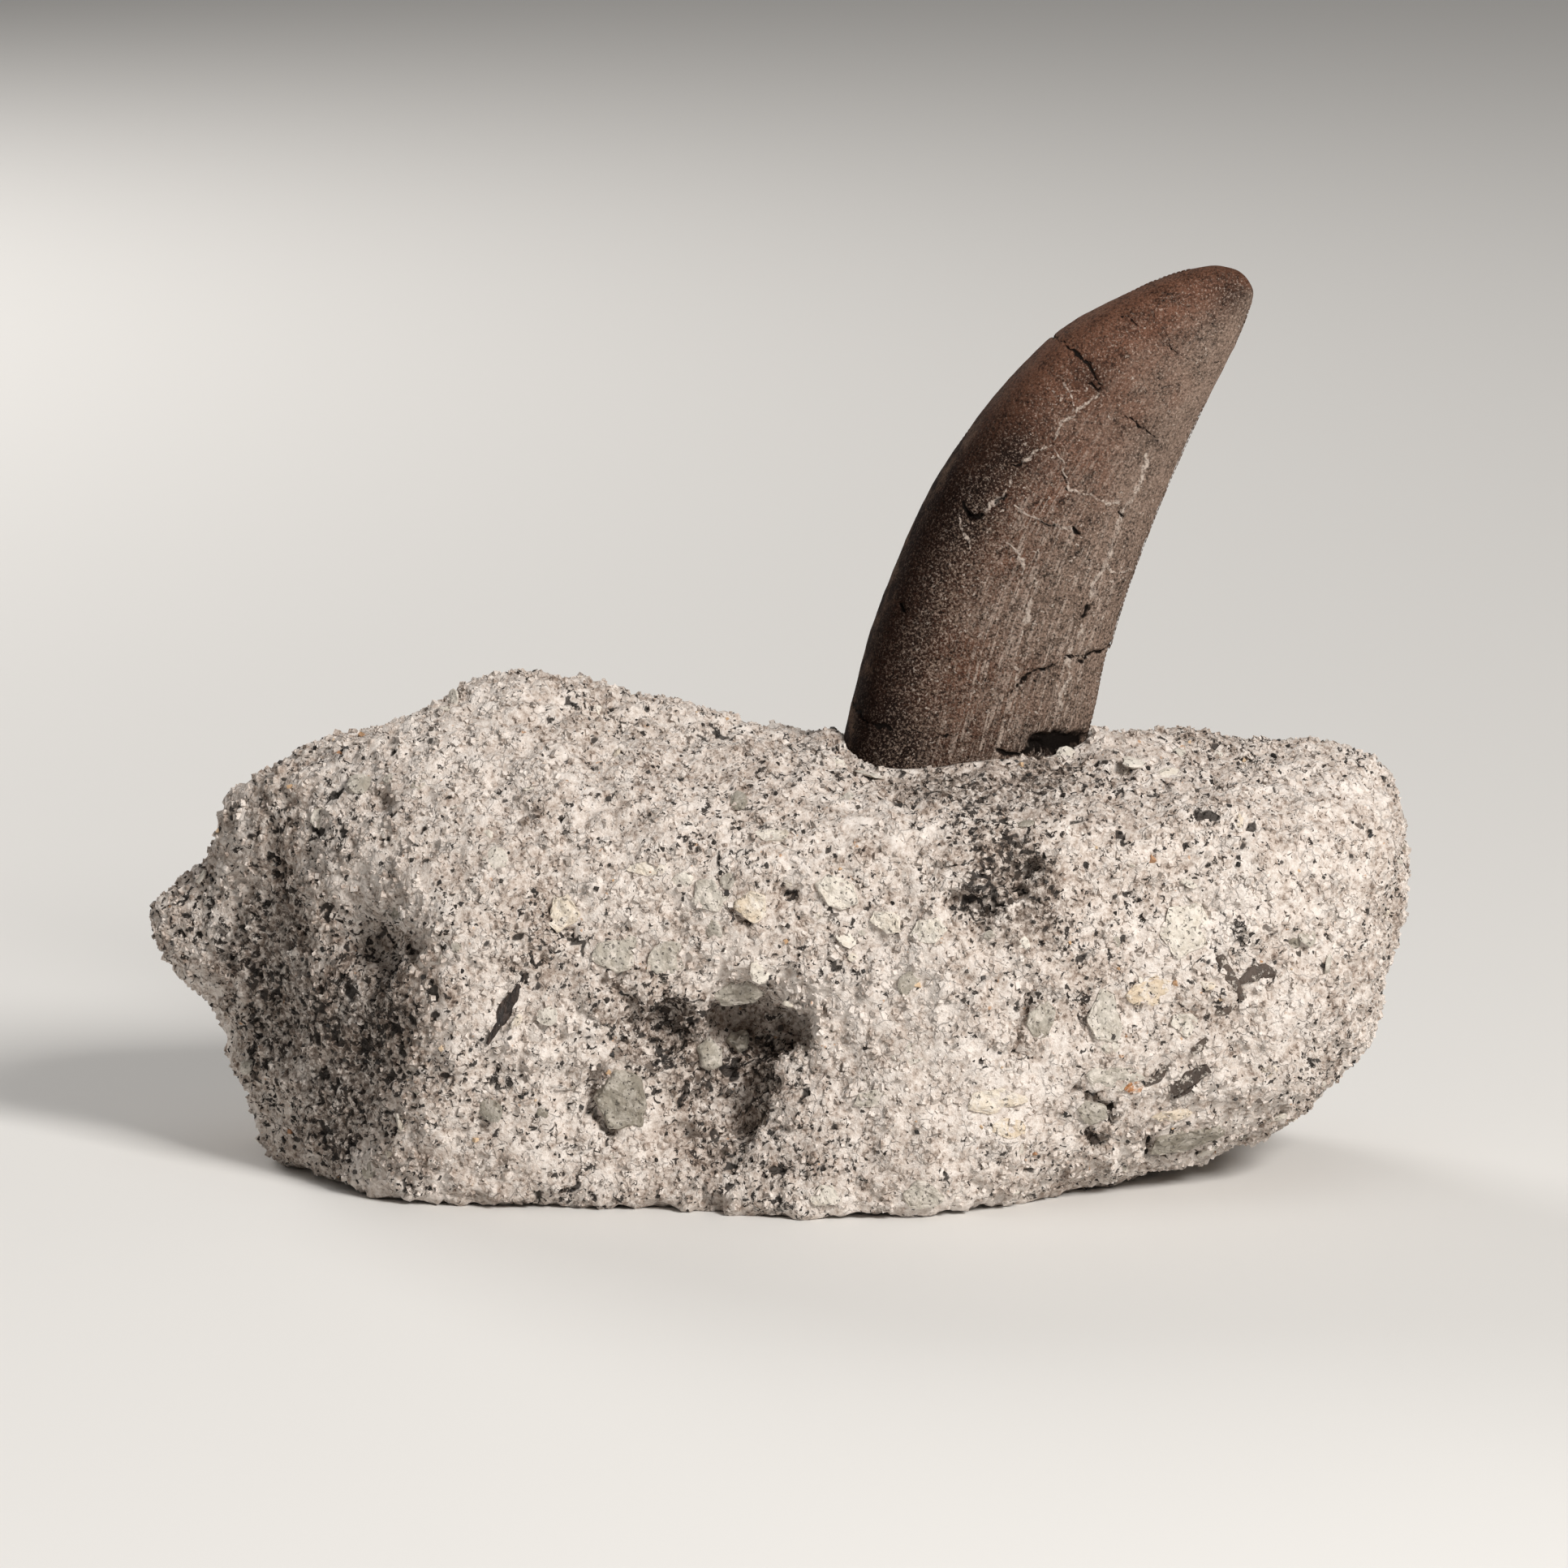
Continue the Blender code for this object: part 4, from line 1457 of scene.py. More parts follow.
@dataclass
class PlantRemains:
    """The stem and the broken chips of plant in the front face.

    Args:
        rings: How many sections a splinter has.
        sides: How many sides a section has.
        proud: How far a splinter's middle stands out of the rock's face.
        splinters: The stem and the chips.
    """

    rings: int = 16
    sides: int = 8
    proud: float = 0.25
    splinters: tuple[Splinter, ...] = (
        Splinter(
            ((-38.3, 23.2), (-37.3, 25.2), (-36.1, 27.4), (-35.1, 29.0), (-34.2, 30.8), (-33.2, 32.6)),
            (0.5, 1.0, 1.9, 1.7, 0.7, 0.3),
            0.0,
            1.1,
        ),
        Splinter(((59.6, 34.6), (61.0, 31.6), (62.9, 28.6)), (1.3, 1.9, 0.9), 1.0),
        Splinter(((62.2, 31.0), (64.8, 32.2), (67.2, 31.6)), (0.8, 2.5, 1.2), 0.75),
        Splinter(((59.2, 27.0), (60.5, 27.4), (61.8, 28.0)), (0.8, 1.5, 0.8), 1.0),
        Splinter(((56.0, 21.4), (57.0, 22.4), (58.0, 23.4)), (0.7, 1.2, 0.6), 1.0),
        Splinter(((53.0, 16.2), (55.4, 17.6), (58.2, 19.4)), (1.7, 2.2, 1.5), 0.5),
        Splinter(((53.6, 15.0), (56.6, 16.9)), (0.5, 0.7), 0.4),
        Splinter(((49.8, 17.2), (51.4, 18.0), (52.6, 19.5)), (0.7, 1.2, 0.6), 0.7),
        Splinter(((42.4, 9.6), (43.4, 8.6)), (0.8, 1.1), 0.5),
    )

    def build(self, block: bpy.types.Object) -> bpy.types.Object:
        """Lays every splinter on the block's face.

        Args:
            block: The finished block.

        Returns:
            The piece.
        """
        shell = bmesh.new()
        shell.from_mesh(block.data)
        tree = BVHTree.FromBMesh(shell)
        shell.free()
        points: list[Point] = []
        faces: list[tuple[int, ...]] = []
        for splinter in self.splinters:
            self._lay(splinter, tree, points, faces)
        mesh = from_faces("plant_remains", points, faces)
        ashen = [splinter.ashen for splinter in self.splinters]
        store(mesh, "ashen", np.repeat(ashen, self.rings * self.sides))
        mesh.materials.append(CarbonFinish().material())
        return linked("plant_remains", mesh)

    def _lay(
        self,
        splinter: Splinter,
        tree: BVHTree,
        points: list[Point],
        faces: list[tuple[int, ...]],
    ) -> None:
        """Adds one splinter's closed tube.

        Args:
            splinter: The splinter.
            tree: The rock's skin, on which it lies.
            points: All splinters' corners; its own are added.
            faces: All splinters' faces; its own are added.
        """
        line = smooth_through(splinter.through, self.rings)
        knots = np.linspace(0, 1, len(splinter.widths))
        widths = np.interp(np.linspace(0, 1, self.rings), knots, splinter.widths)
        inwards = Vector((0, 1, 0))
        spots = [tree.ray_cast(Vector((x, WELL_IN_FRONT, z)) * MM, inwards)[0] / MM for x, z in line]
        depths = np.convolve([spot.y for spot in spots], np.ones(5) / 5, "same")
        depths[:2], depths[-2:] = depths[2], depths[-3]
        first = len(points)
        for index, (x, z) in enumerate(line):
            ahead = line[min(index + 1, self.rings - 1)] - line[max(index - 1, 0)]
            across = np.array([ahead[1], 0.0, -ahead[0]]) / np.linalg.norm(ahead)
            for side in range(self.sides):
                turn = 2 * math.pi * side / self.sides
                ragged = 1.0 + 0.35 * cloud.noise(Vector((x, side * 1.7, z)))
                offset = across * math.cos(turn) * widths[index] / 2 * ragged
                depth = depths[index] - self.proud - math.sin(turn) * splinter.thickness / 2 * ragged
                points.append((x + offset[0], depth, z + offset[2]))
        for index in range(self.rings - 1):
            for side in range(self.sides):
                here, there = first + index * self.sides, first + (index + 1) * self.sides
                after = (side + 1) % self.sides
                faces.append((here + side, here + after, there + after, there + side))
        faces.append(tuple(range(first, first + self.sides)))
        last = first + (self.rings - 1) * self.sides
        faces.append(tuple(range(last, last + self.sides)))


# --------------------------------------------------------------------------- tooth


class Break(Enum):
    """What a broken line in the enamel holds."""

    OPEN = "crack"
    HEALED = "vein"


class Face(Enum):
    """The tooth's two broad faces."""

    FRONT = -1
    BACK = 1


@dataclass(frozen=True)
class Fracture:
    """A line or a pit in the enamel.

    Args:
        kind: Open and dark, or filled with pale mineral.
        face: The face that it is in.
        through: (x, z) points on the tooth's middle plane, sighted from ten degrees up.
        half_width: Half its width in millimetres.
        depth: How deep its groove is.
    """

    kind: Break
    face: Face
    through: tuple[FlatPoint, ...]
    half_width: float = 0.2
    depth: float = 0.0


@dataclass
class Tooth:
    """The recurved, flattened crown with its buried root.

    Args:
        front_edge: (x, z) points of the convex edge, from the root to the tip.
        cutting_edge: The same for the concave edge, which carries the serrations.
        thickness: The crown's greatest thickness.
        fullness: How much of it the sections reach.
        full_half_width: Half-width from which a section has its full thickness.
        thinning: How fast narrower sections thin, 1 for in step with their width.
        squareness: How blunt a section's two ends are.
        lean: How far a section's thickest place lies towards the front edge.
        rings: How many sections the crown is lofted through.
        steps: How many points a section has.
        last_share: Where the tip's rounding starts along the edges.
        pocket_gap: Room between the root and its pocket.
        sight_slope: Rise to run of the line that the fractures are sighted along.
        edge_length: Length that "along" counts from the root to the tip.
        fractures: The cracks, open and healed.
        stains_and_shade: Dark patches on the enamel; the last is painted shadow on the crown's foot over the
            gap in the rock.
        middle_y: The crown's middle plane, read from the frame.
        shift_x: How far the drawn edges move to meet the solid.
    """

    front_edge: tuple[FlatPoint, ...] = (
        (6.4, 50.0),
        (8.9, 61.0),
        (13.0, 77.0),
        (21.8, 96.6),
        (35.0, 113.2),
        (48.2, 121.3),
        (56.5, 124.1),
        (61.4, 123.6),
        (63.9, 121.0),
    )
    cutting_edge: tuple[FlatPoint, ...] = (
        (38.6, 50.0),
        (41.6, 60.3),
        (45.8, 76.5),
        (50.5, 89.9),
        (56.2, 103.3),
        (61.8, 115.0),
        (63.9, 121.0),
    )
    thickness: float = 17.0
    fullness: float = 0.85
    full_half_width: float = 15.5
    thinning: float = 0.9
    squareness: int = 4
    lean: float = 0.35
    rings: int = 400
    steps: int = 208
    last_share: float = 0.985
    pocket_gap: float = 0.12
    sight_slope: float = 0.176
    edge_length: float = 88.0
    middle_y: float = field(init=False)
    shift_x: float = field(init=False)
    fractures: tuple[Fracture, ...] = (
        Fracture(
            Break.OPEN,
            Face.FRONT,
            ((36.9, 115.6), (38.1, 114.4), (40.5, 112.1), (42.5, 110.7)),
            0.15,
            0.22,
        ),
        Fracture(Break.OPEN, Face.FRONT, ((41.9, 110.9), (42.9, 109.9), (44.4, 108.4)), 0.24, 0.35),
        Fracture(Break.OPEN, Face.FRONT, ((42.5, 108.2), (43.4, 107.4), (44.2, 107.9)), 0.30, 0.45),
        Fracture(
            Break.OPEN,
            Face.FRONT,
            ((47.0, 104.4), (48.1, 103.2), (49.5, 102.0), (51.4, 100.4)),
            0.12,
            0.16,
        ),
        Fracture(
            Break.OPEN,
            Face.FRONT,
            ((52.7, 113.6), (54.5, 111.9), (56.1, 111.5), (57.9, 111.1), (60.4, 110.8)),
            0.10,
            0.12,
        ),
        Fracture(Break.OPEN, Face.FRONT, ((46.4, 117.6), (49.2, 115.4)), 0.10, 0.12),
        Fracture(Break.OPEN, Face.FRONT, ((30.6, 64.4), (32.2, 66.6), (33.9, 68.2)), 0.22, 0.3),
        Fracture(Break.OPEN, Face.FRONT, ((33.4, 68.2), (35.4, 69.4), (37.4, 70.0)), 0.28, 0.4),
        Fracture(Break.OPEN, Face.FRONT, ((37.4, 70.0), (39.4, 70.8), (42.0, 71.2)), 0.08, 0.12),
        Fracture(Break.OPEN, Face.FRONT, ((41.6, 70.4), (42.6, 71.0), (45.6, 72.6)), 0.28, 0.4),
        Fracture(Break.OPEN, Face.FRONT, ((26.6, 90.5), (27.4, 90.0), (28.0, 90.3)), 0.50, 0.7),
        Fracture(Break.OPEN, Face.FRONT, ((25.2, 91.6), (26.6, 90.6)), 0.22, 0.3),
        Fracture(Break.OPEN, Face.FRONT, ((29.4, 91.6), (31.0, 93.0)), 0.16, 0.25),
        Fracture(Break.OPEN, Face.FRONT, ((32.0, 97.2), (32.4, 97.0), (33.7, 97.5)), 0.24, 0.35),
        Fracture(Break.OPEN, Face.FRONT, ((35.6, 89.5), (37.6, 89.1)), 0.18, 0.3),
        Fracture(Break.OPEN, Face.FRONT, ((40.4, 88.3), (41.1, 87.7)), 0.34, 0.5),
        Fracture(Break.OPEN, Face.FRONT, ((46.9, 90.4), (47.2, 89.9)), 0.34, 0.4),
        Fracture(Break.OPEN, Face.FRONT, ((45.9, 87.0), (45.6, 86.4)), 0.24, 0.3),
        Fracture(Break.OPEN, Face.FRONT, ((38.6, 95.6), (39.2, 94.4), (39.6, 93.6)), 0.18, 0.3),
        Fracture(Break.OPEN, Face.FRONT, ((42.2, 78.0), (41.9, 76.6)), 0.24, 0.3),
        Fracture(Break.OPEN, Face.FRONT, ((10.6, 64.6), (12.6, 62.6), (15.4, 60.6)), 0.20, 0.3),
        Fracture(Break.OPEN, Face.FRONT, ((17.4, 61.8), (20.2, 60.2), (24.6, 60.4)), 0.09, 0.12),
        Fracture(Break.OPEN, Face.FRONT, ((17.0, 78.4), (17.3, 77.6)), 0.30, 0.4),
        # These two also paint the shadow in the gap under the crown's foot: their dark crack colour stands
        # for shade there, over a cut groove.
        Fracture(Break.OPEN, Face.FRONT, ((35.4, 58.6), (38.4, 59.0), (41.6, 59.2)), 1.25, 1.1),
        Fracture(Break.OPEN, Face.FRONT, ((30.6, 57.8), (33.4, 58.1), (36.0, 58.4)), 0.42, 0.5),
        Fracture(
            Break.HEALED,
            Face.FRONT,
            ((43.4, 106.8), (41.6, 105.2), (39.9, 104.0), (37.2, 99.9), (34.9, 98.3), (33.6, 97.4)),
            0.18,
        ),
        Fracture(Break.HEALED, Face.FRONT, ((39.9, 104.0), (39.7, 106.4), (39.0, 108.4)), 0.11),
        Fracture(Break.HEALED, Face.FRONT, ((32.0, 96.0), (31.4, 93.7), (28.6, 90.8)), 0.15),
        Fracture(
            Break.HEALED,
            Face.FRONT,
            ((37.2, 99.9), (38.5, 96.3), (39.9, 93.7), (44.0, 92.1), (47.1, 92.7)),
            0.14,
        ),
        Fracture(Break.HEALED, Face.FRONT, ((32.4, 91.7), (35.4, 89.6), (38.0, 89.1), (40.4, 88.2)), 0.16),
        Fracture(
            Break.HEALED,
            Face.FRONT,
            ((50.6, 97.8), (49.2, 94.8), (47.2, 90.4), (45.5, 86.0), (44.6, 83.4), (42.5, 78.9)),
            0.22,
        ),
        Fracture(Break.HEALED, Face.FRONT, ((44.6, 83.4), (46.2, 82.6), (48.2, 82.7)), 0.14),
        Fracture(
            Break.HEALED,
            Face.FRONT,
            ((41.6, 75.4), (40.8, 72.6), (39.6, 69.2), (38.5, 63.4), (37.4, 60.4)),
            0.19,
        ),
        Fracture(Break.HEALED, Face.FRONT, ((25.0, 90.4), (25.4, 88.0), (26.2, 86.0)), 0.10),
        Fracture(Break.HEALED, Face.FRONT, ((31.4, 86.4), (33.0, 83.6), (33.4, 81.6)), 0.14),
        Fracture(Break.HEALED, Face.FRONT, ((35.6, 82.0), (33.6, 74.0), (32.0, 66.6)), 0.14),
        Fracture(
            Break.OPEN,
            Face.BACK,
            ((36.9, 115.6), (40.0, 111.0), (45.0, 107.6), (51.0, 101.4), (54.8, 100.2)),
            0.18,
            0.3,
        ),
        Fracture(Break.OPEN, Face.BACK, ((45.6, 72.6), (38.0, 70.8), (31.0, 66.0), (24.0, 67.6)), 0.20, 0.35),
        Fracture(Break.OPEN, Face.BACK, ((21.0, 84.0), (26.0, 86.4), (30.4, 85.0)), 0.16, 0.25),
        Fracture(Break.HEALED, Face.BACK, ((47.6, 99.0), (43.0, 88.0), (40.6, 77.0), (36.0, 64.0)), 0.16),
        Fracture(Break.HEALED, Face.BACK, ((24.0, 98.4), (31.0, 93.6), (43.0, 88.0)), 0.16),
    )
    stains_and_shade: tuple[Patch, ...] = (
        Patch((61.2, -8.0, 120.6), 2.6, 0.9),
        Patch((42.8, -13.0, 110.0), 2.6, 0.7),
        Patch((33.4, -14.0, 99.6), 4.0, 0.5),
        Patch((51.2, -12.0, 101.0), 3.0, 0.45),
        Patch((27.5, -14.0, 91.0), 3.4, 0.35),
        # Painted shadow on the crown's foot, over the gap in the rock beside it.
        Patch((37.4, -14.0, 58.6), 4.0, 1.1),
    )

    def __post_init__(self) -> None:
        """Finds the solid's place, which the edges are drawn about."""
        low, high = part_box("tooth")
        self.middle_y = (low.y + high.y) / 2 / MM
        self.shift_x = low.x / MM - self.front_edge[0][0]

    def _edge(self, knots: tuple[FlatPoint, ...], shares: np.ndarray) -> np.ndarray:
        """The points at these shares of an edge's length."""
        path = smooth_through(knots, 1001) + (self.shift_x, 0.0)
        at = shares * 1000
        return np.column_stack([np.interp(at, np.arange(1001), axis) for axis in path.T])

    def _rows(self, shares: np.ndarray, swell: np.ndarray, steps: int, grow: float = 0.0) -> np.ndarray:
        """Sections of the crown.

        Args:
            shares: Where each section stands, 0 at the root and 1 at the tip.
            swell: Each section's size, 1 for the full one.
            steps: How many points a section has.
            grow: How far outside the crown it lies.

        Returns:
            Points by section, step and axis.
        """
        front, cutting = self._edge(self.front_edge, shares), self._edge(self.cutting_edge, shares)
        middle, reach = (front + cutting) / 2, (front - cutting) / 2
        half = np.linalg.norm(reach, axis=1)
        turn = 2 * math.pi * np.arange(steps) / steps
        along = np.cos(turn)
        oval = np.sqrt(np.maximum(1 - along**self.squareness, 0.0)) * (1 + along) ** self.lean
        thin = np.minimum(1.0, half / self.full_half_width) ** self.thinning
        depth = np.outer(thin * swell, oval) * self.fullness * self.thickness / 2
        side = np.sign(np.sin(turn)) * (np.abs(np.sin(turn)) > 1e-6)
        spread = np.outer(swell * (1 + grow / half), along)
        flat = middle[:, None, :] + spread[:, :, None] * reach[:, None, :]
        return np.stack([flat[:, :, 0], self.middle_y + side * (depth + grow), flat[:, :, 1]], axis=2)

    @staticmethod
    def _closed(name: str, rows: np.ndarray) -> bpy.types.Mesh:
        """The loft through the sections, with both ends closed."""
        count, steps = rows.shape[:2]
        faces: list[tuple[int, ...]] = []
        for ring in range(count - 1):
            here, there = ring * steps, (ring + 1) * steps
            for step in range(steps):
                after = (step + 1) % steps
                faces.append((here + step, here + after, there + after, there + step))
        faces.append(tuple(range(steps)))
        faces.append(tuple(range((count - 1) * steps, count * steps)))
        return from_faces(name, rows.reshape(-1, 3), faces)

    def build(self) -> bpy.types.Object:
        """Lofts the crown, breaks it and stores where its finish changes.

        Returns:
            The tooth.
        """
        body = np.linspace(0.0, self.last_share, self.rings)
        ends = np.sin(np.linspace(0.0, 1.45, 9)[1:])
        shares = np.r_[body, self.last_share + 0.008 * ends]
        swell = np.r_[np.ones(self.rings), np.sqrt(1 - ends**2)]
        mesh = self._closed("tooth_crown", self._rows(shares, swell, self.steps))
        self._mark(mesh, shares)
        mesh.shade_smooth()
        mesh.materials.append(EnamelFinish().material())
        return linked("tooth_crown", mesh)

    def _mark(self, mesh: bpy.types.Mesh, shares: np.ndarray) -> None:
        """Stores the finish's places on the crown, and cuts the fractures."""
        points, out = positions(mesh), normals(mesh)
        turn = 2 * math.pi * np.arange(self.steps) / self.steps
        store(mesh, "across", np.tile((1 - np.cos(turn)) / 2, len(shares)))
        store(mesh, "along", np.repeat(shares * self.edge_length, self.steps))
        store(mesh, "stain_and_shade", sum(stain_and_shade.over(points) for stain_and_shade in self.stains_and_shade))
        raised = self.sight_slope * (points[:, 1] - self.middle_y)
        sighted = np.column_stack([points[:, 0], points[:, 2] + raised])
        for wavelength, reach in ((3.5, 0.9), (0.9, 0.35)):
            sighted[:, 0] += clouds(points, wavelength, 2, 3.0) * reach
            sighted[:, 1] += clouds(points, wavelength, 2, 19.0) * reach
        groove = clouds(points, 13.0, 2) * 0.16 + clouds(points, 3.2, 3) * 0.09
        near = {kind: np.zeros(len(points)) for kind in Break}
        for fracture in self.fractures:
            on_face = np.sign(points[:, 1] - self.middle_y) == fracture.face.value
            gap = off_path(sighted, fracture.through) / fracture.half_width
            near[fracture.kind] = np.maximum(near[fracture.kind], on_face * np.clip(1 - 0.1 * gap, 0, 1))
            groove -= on_face * fracture.depth * smoothstep(1.6, 0.3, gap)
        for kind, closeness in near.items():
            store(mesh, kind.value, closeness)
        moved = points + out * groove[:, None]
        moved[:, 0] -= self._steps_in_edges(points)
        reposition(mesh, moved)

    def _steps_in_edges(self, points: np.ndarray) -> np.ndarray:
        """How far each point moves in where a fracture has let an edge slip."""
        below = smoothstep(72.4, 72.0, points[:, 2]) * smoothstep(62.0, 71.0, points[:, 2])
        near_cut = smoothstep(38.0, 45.0, points[:, 0])
        return 0.35 * below * near_cut

    def clearance(self, points: np.ndarray) -> np.ndarray:
        """Distance of each point from the crown, below 0 inside it and 99 far off."""
        shell = merged("tooth")
        tree = BVHTree.FromBMesh(shell)
        shell.free()
        gaps = np.full(len(points), 99.0)
        low, high = (np.array(corner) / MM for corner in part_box("tooth"))
        close = np.all((points > low - 8.0) & (points < high + 8.0), axis=1)
        for index in np.flatnonzero(close):
            place = Vector(points[index]) * MM
            spot, facing, _, gap = tree.find_nearest(place)
            gaps[index] = math.copysign(gap / MM, (place - spot).dot(facing))
        return gaps

    def cut_pocket(self, block: bpy.types.Object) -> None:
        """Cuts the root's pocket into the block."""
        shares = np.linspace(0.0, 0.35, 40)
        rows = self._rows(shares, np.ones(40), 72, self.pocket_gap)
        rows[0, :, 2] -= self.pocket_gap
        combine(block, linked("pocket_cutter", self._closed("pocket_cutter", rows)), "DIFFERENCE")

    def edge_line(self, knots: tuple[FlatPoint, ...], low: float, high: float) -> list[Point]:
        """Points along an edge between two shares of its length."""
        flat = self._edge(knots, np.linspace(low, high, 160))
        line = np.column_stack([flat[:, 0], np.full(len(flat), self.middle_y), flat[:, 1]])
        line[:, 0] -= self._steps_in_edges(line)
        return [tuple(point) for point in line.tolist()]


@dataclass
class Serrations:
    """The fine serrations of the tooth's two edges.

    Args:
        pitch: Distance from one to the next.
        half_length: Half a serration's length along the edge.
        half_height: How far it stands out.
        half_width: Half its width across the edge.
        root_z: Height that the enamel counts "along" from.
        along_per_mm: How much "along" grows for each millimetre of height.
    """

    pitch: float = 0.66
    half_length: float = 0.39
    half_height: float = 0.085
    half_width: float = 0.20
    root_z: float = 50.0
    along_per_mm: float = 1.15

    def build(self, tooth: Tooth) -> list[bpy.types.Object]:
        """Makes both edges' serrations.

        Args:
            tooth: The tooth that they stand on.

        Returns:
            The cutting edge's piece and the front edge's fainter one.
        """
        cutting = tooth.edge_line(tooth.cutting_edge, 0.13, 0.975)
        front = tooth.edge_line(tooth.front_edge, 0.50, 0.90)
        return [
            self._row("cutting_edge_serrations", cutting, 1.0, 1.0),
            self._row("front_edge_serrations", front, 0.03, 0.8),
        ]

    def _row(self, name: str, line: list[Point], across: float, size: float) -> bpy.types.Object:
        """One edge's serrations, by Geometry Nodes."""
        mesh = bpy.data.meshes.new(name)
        runs = [(index, index + 1) for index in range(len(line) - 1)]
        mesh.from_pydata([tuple(c * MM for c in point) for point in line], runs, [])
        host = linked("serration_line", mesh)
        sizes = {"Pitch": self.pitch, "Size": size, "Across": across}
        tree = ShapeTree(name, sizes)
        curve = tree.node("GeometryNodeMeshToCurve", None, {0: tree.host}).outputs[0]
        settings = {"mode": "LENGTH"}
        inputs = {"Curve": curve, "Length": tree.size("Pitch") * MM}
        spots = tree.node("GeometryNodeResampleCurve", settings, inputs).outputs[0]
        ball = tree.node("GeometryNodeMeshIcoSphere", None, {"Radius": 1.0, "Subdivisions": 2}).outputs[0]
        tangent = tree.node("GeometryNodeInputTangent").outputs[0]
        settings = {"axis": "Z"}
        turn = tree.node("FunctionNodeAlignRotationToVector", settings, {"Vector": tangent}).outputs[0]
        form = (self.half_height * MM, self.half_width * MM, self.half_length * MM)
        wear = tree.random(0.6, 1.05, 31)
        inputs = {
            "Points": spots,
            "Instance": ball,
            "Rotation": turn,
            "Scale": tree.scaled(tree.scaled(form, tree.size("Size")), wear),
        }
        placed = tree.node("GeometryNodeInstanceOnPoints", None, inputs).outputs[0]
        height = tree.value(tree.node("ShaderNodeSeparateXYZ", None, {0: tree.place}), "Z")
        placed = tree.named(placed, "along", (height - self.root_z) * self.along_per_mm)
        placed = tree.named(placed, "across", tree.size("Across"))
        tree.end(placed, EnamelFinish().material())
        piece = tree.grow(host, name, sizes)
        bpy.data.objects.remove(host)
        return piece


# -------------------------------------------------------------------------- studio


@dataclass(frozen=True)
class Softbox:
    """A square area light.

    Args:
        name: Its name.
        azimuth: Degrees round from the front towards the right.
        elevation: Degrees above the object's middle.
        distance: Metres from it.
        size: Its side in metres.
        power: Its power in watts.
        colour: Its colour.
    """

    name: str
    azimuth: float
    elevation: float
    distance: float
    size: float
    power: float
    colour: Colour = (1.0, 1.0, 1.0)


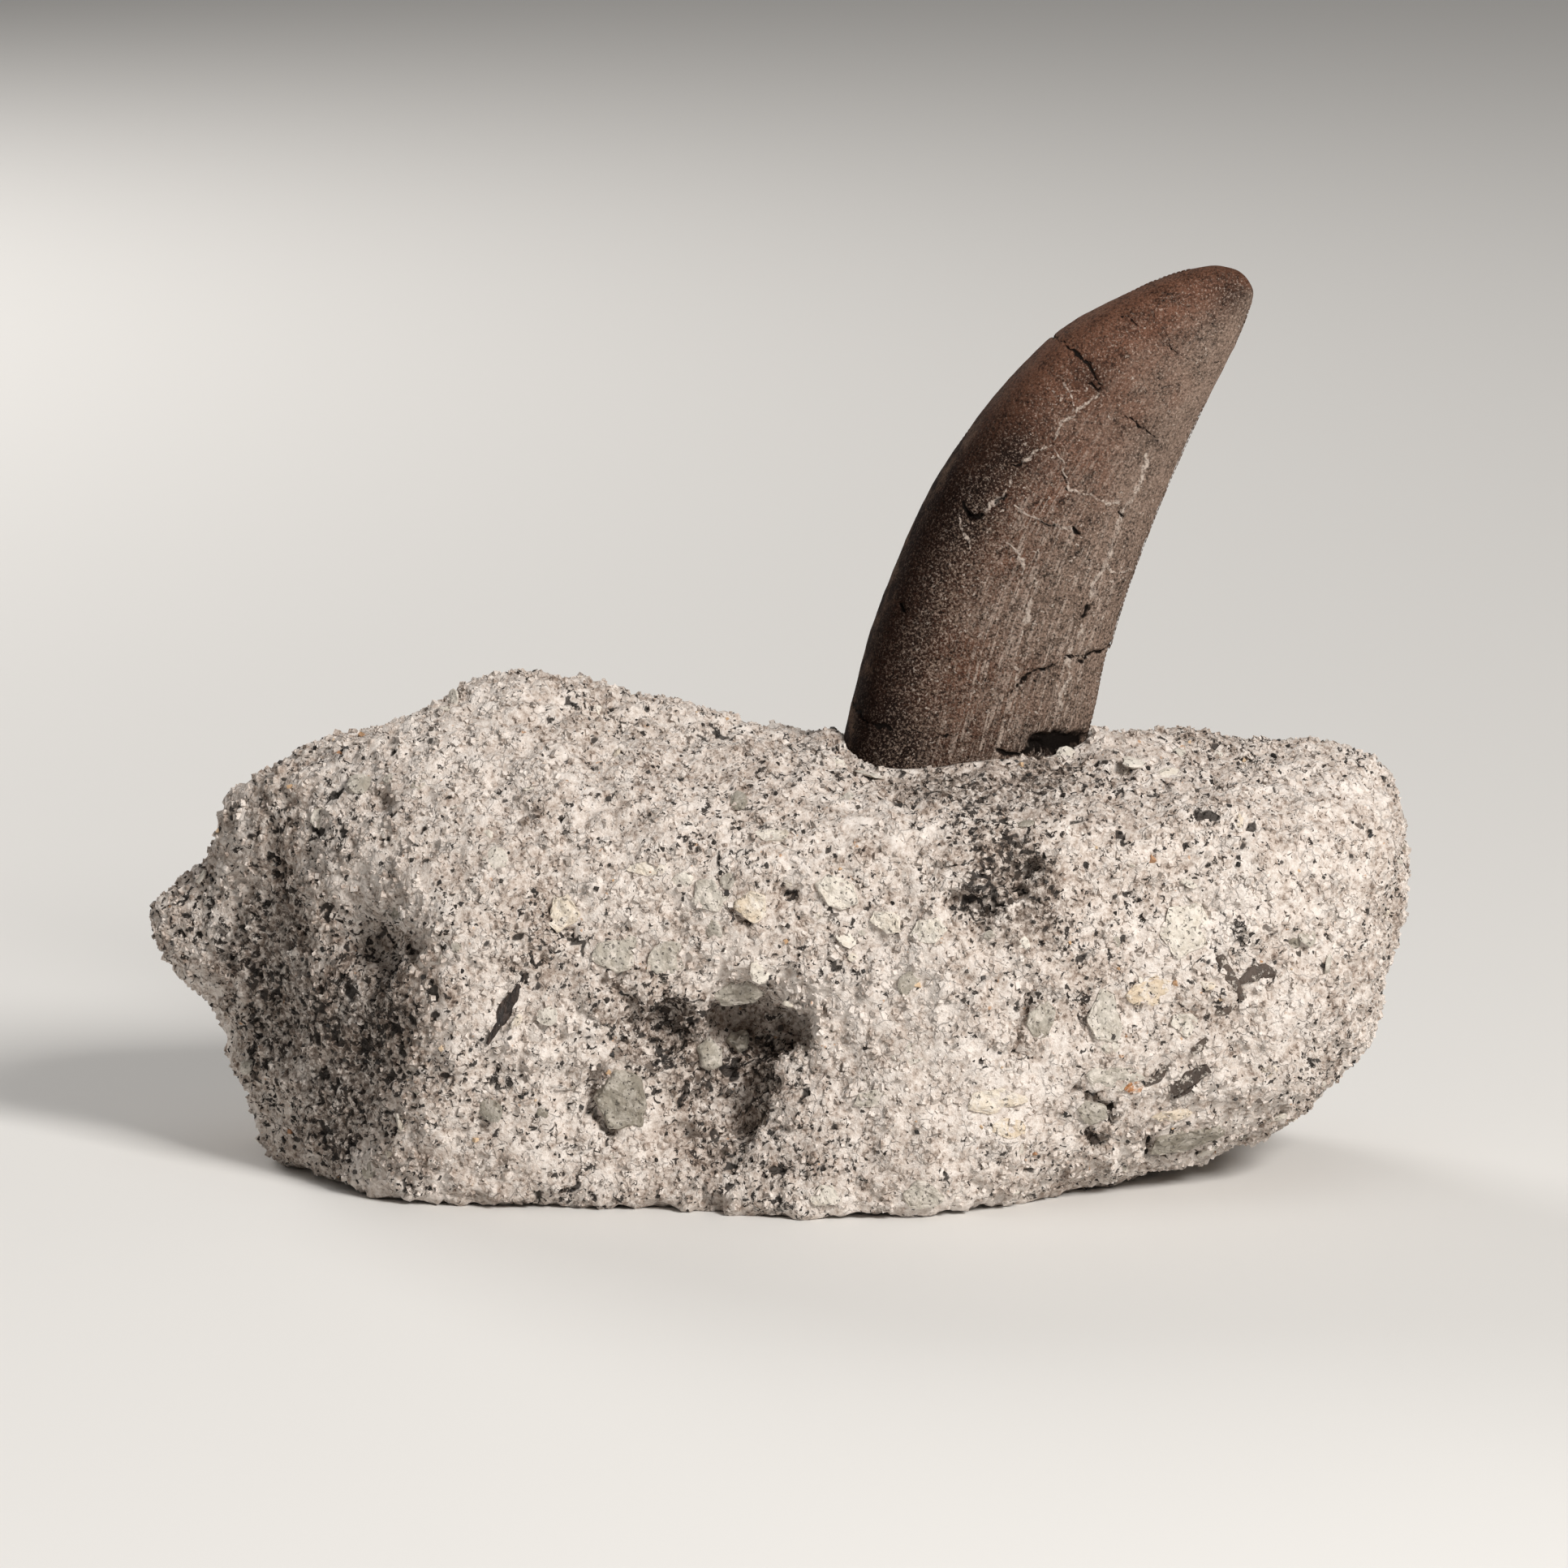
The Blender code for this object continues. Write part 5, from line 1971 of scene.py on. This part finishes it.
@dataclass
class Studio:
    """The floor, the camera and the lights.

    Args:
        target: What the camera and the lights look at, in millimetres.
        camera_distance: Metres from the target to the camera.
        camera_elevation: Degrees that the camera stands above it.
        frame_width: Metres across the frame at the target.
        floor_side: The floor's side in metres.
        world_strength: Strength of the light from all round.
        softboxes: The lights.
    """

    target: Point = (1.33, -6.62, 53.5)
    camera_distance: float = 1.6
    camera_elevation: float = 10.0
    frame_width: float = 0.21252
    floor_side: float = 30.0
    world_strength: float = 0.13
    softboxes: tuple[Softbox, ...] = (
        Softbox("key", 36.0, 32.0, 1.5, 0.40, 24.5, (1.0, 0.97, 0.935)),
        Softbox("rim", -146.0, 20.0, 1.3, 0.5, 8.0, (1.0, 0.97, 0.94)),
        Softbox("top", 10.0, 80.0, 2.4, 2.0, 8.0),
    )

    def build(self) -> None:
        """Sets the stage."""
        self._floor()
        self._camera()
        for softbox in self.softboxes:
            self._light(softbox)
        world = bpy.data.worlds.new("studio")
        bpy.context.scene.world = world
        world.use_nodes = True
        world.node_tree.nodes["Background"].inputs["Color"].default_value = (1.0, 0.97, 0.93, 1.0)
        world.node_tree.nodes["Background"].inputs["Strength"].default_value = self.world_strength
        bpy.context.scene.view_settings.view_transform = "Standard"

    def _seat(self, azimuth: float, elevation: float, distance: float) -> Matrix:
        """Where a thing stands that looks at the target."""
        turn, rise = math.radians(azimuth), math.radians(elevation)
        flat = math.cos(rise)
        away = Vector((math.sin(turn) * flat, -math.cos(turn) * flat, math.sin(rise)))
        place = Vector(self.target) * MM + away * distance
        return Matrix.Translation(place) @ away.to_track_quat("Z", "Y").to_matrix().to_4x4()

    def _floor(self) -> None:
        """The pale floor."""
        half = self.floor_side / 2
        mesh = bpy.data.meshes.new("floor")
        corners = [(-half, -half, 0.0), (half, -half, 0.0), (half, half, 0.0), (-half, half, 0.0)]
        mesh.from_pydata(corners, [], [(0, 1, 2, 3)])
        mesh.materials.append(FloorFinish().material())
        linked("floor", mesh)

    def _camera(self) -> None:
        """The camera, straight in front and a little above."""
        data = bpy.data.cameras.new("camera")
        data.lens = data.sensor_width * self.camera_distance / self.frame_width
        data.clip_end = 2 * self.floor_side
        camera = bpy.data.objects.new("camera", data)
        camera.matrix_world = self._seat(0.0, self.camera_elevation, self.camera_distance)
        bpy.context.scene.collection.objects.link(camera)
        bpy.context.scene.camera = camera

    def _light(self, softbox: Softbox) -> None:
        """One softbox."""
        data = bpy.data.lights.new(softbox.name, "AREA")
        data.size = softbox.size
        data.energy = softbox.power
        data.color = softbox.colour
        light = bpy.data.objects.new(softbox.name, data)
        light.matrix_world = self._seat(softbox.azimuth, softbox.elevation, softbox.distance)
        bpy.context.scene.collection.objects.link(light)


# ---------------------------------------------------------------------------- main


def dress(piece: bpy.types.Object) -> None:
    """Ties a piece to the frame."""
    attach(piece, BODY)


def report(piece: bpy.types.Object) -> None:
    """Logs a piece's size in triangles."""
    piece.data.calc_loop_triangles()
    LOG.info("%s: %d triangles", piece.name, len(piece.data.loop_triangles))


def main() -> None:
    """Builds the fossil and its stage."""
    logging.basicConfig(level=logging.INFO, format="%(message)s")
    tooth, pebbles, matrix = Tooth(), Pebbles(), MatrixBlock()
    crown = tooth.build()
    block = matrix.build(pebbles, tooth)
    stones = [pebbles.build(), pebbles.scatter(block)]
    grains = SandCover().build(block)
    plants = PlantRemains().build(block)
    tooth.cut_pocket(block)
    matrix.dress(block)
    dress(crown)
    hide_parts("tooth")
    teeth = Serrations().build(tooth)
    for piece in [*stones, *grains, plants]:
        dress(piece)
    for piece in teeth:
        dress(piece)
    for piece in [block, crown, plants, *stones, *grains, *teeth]:
        report(piece)
    Studio().build()


if __name__ == "__main__":
    main()
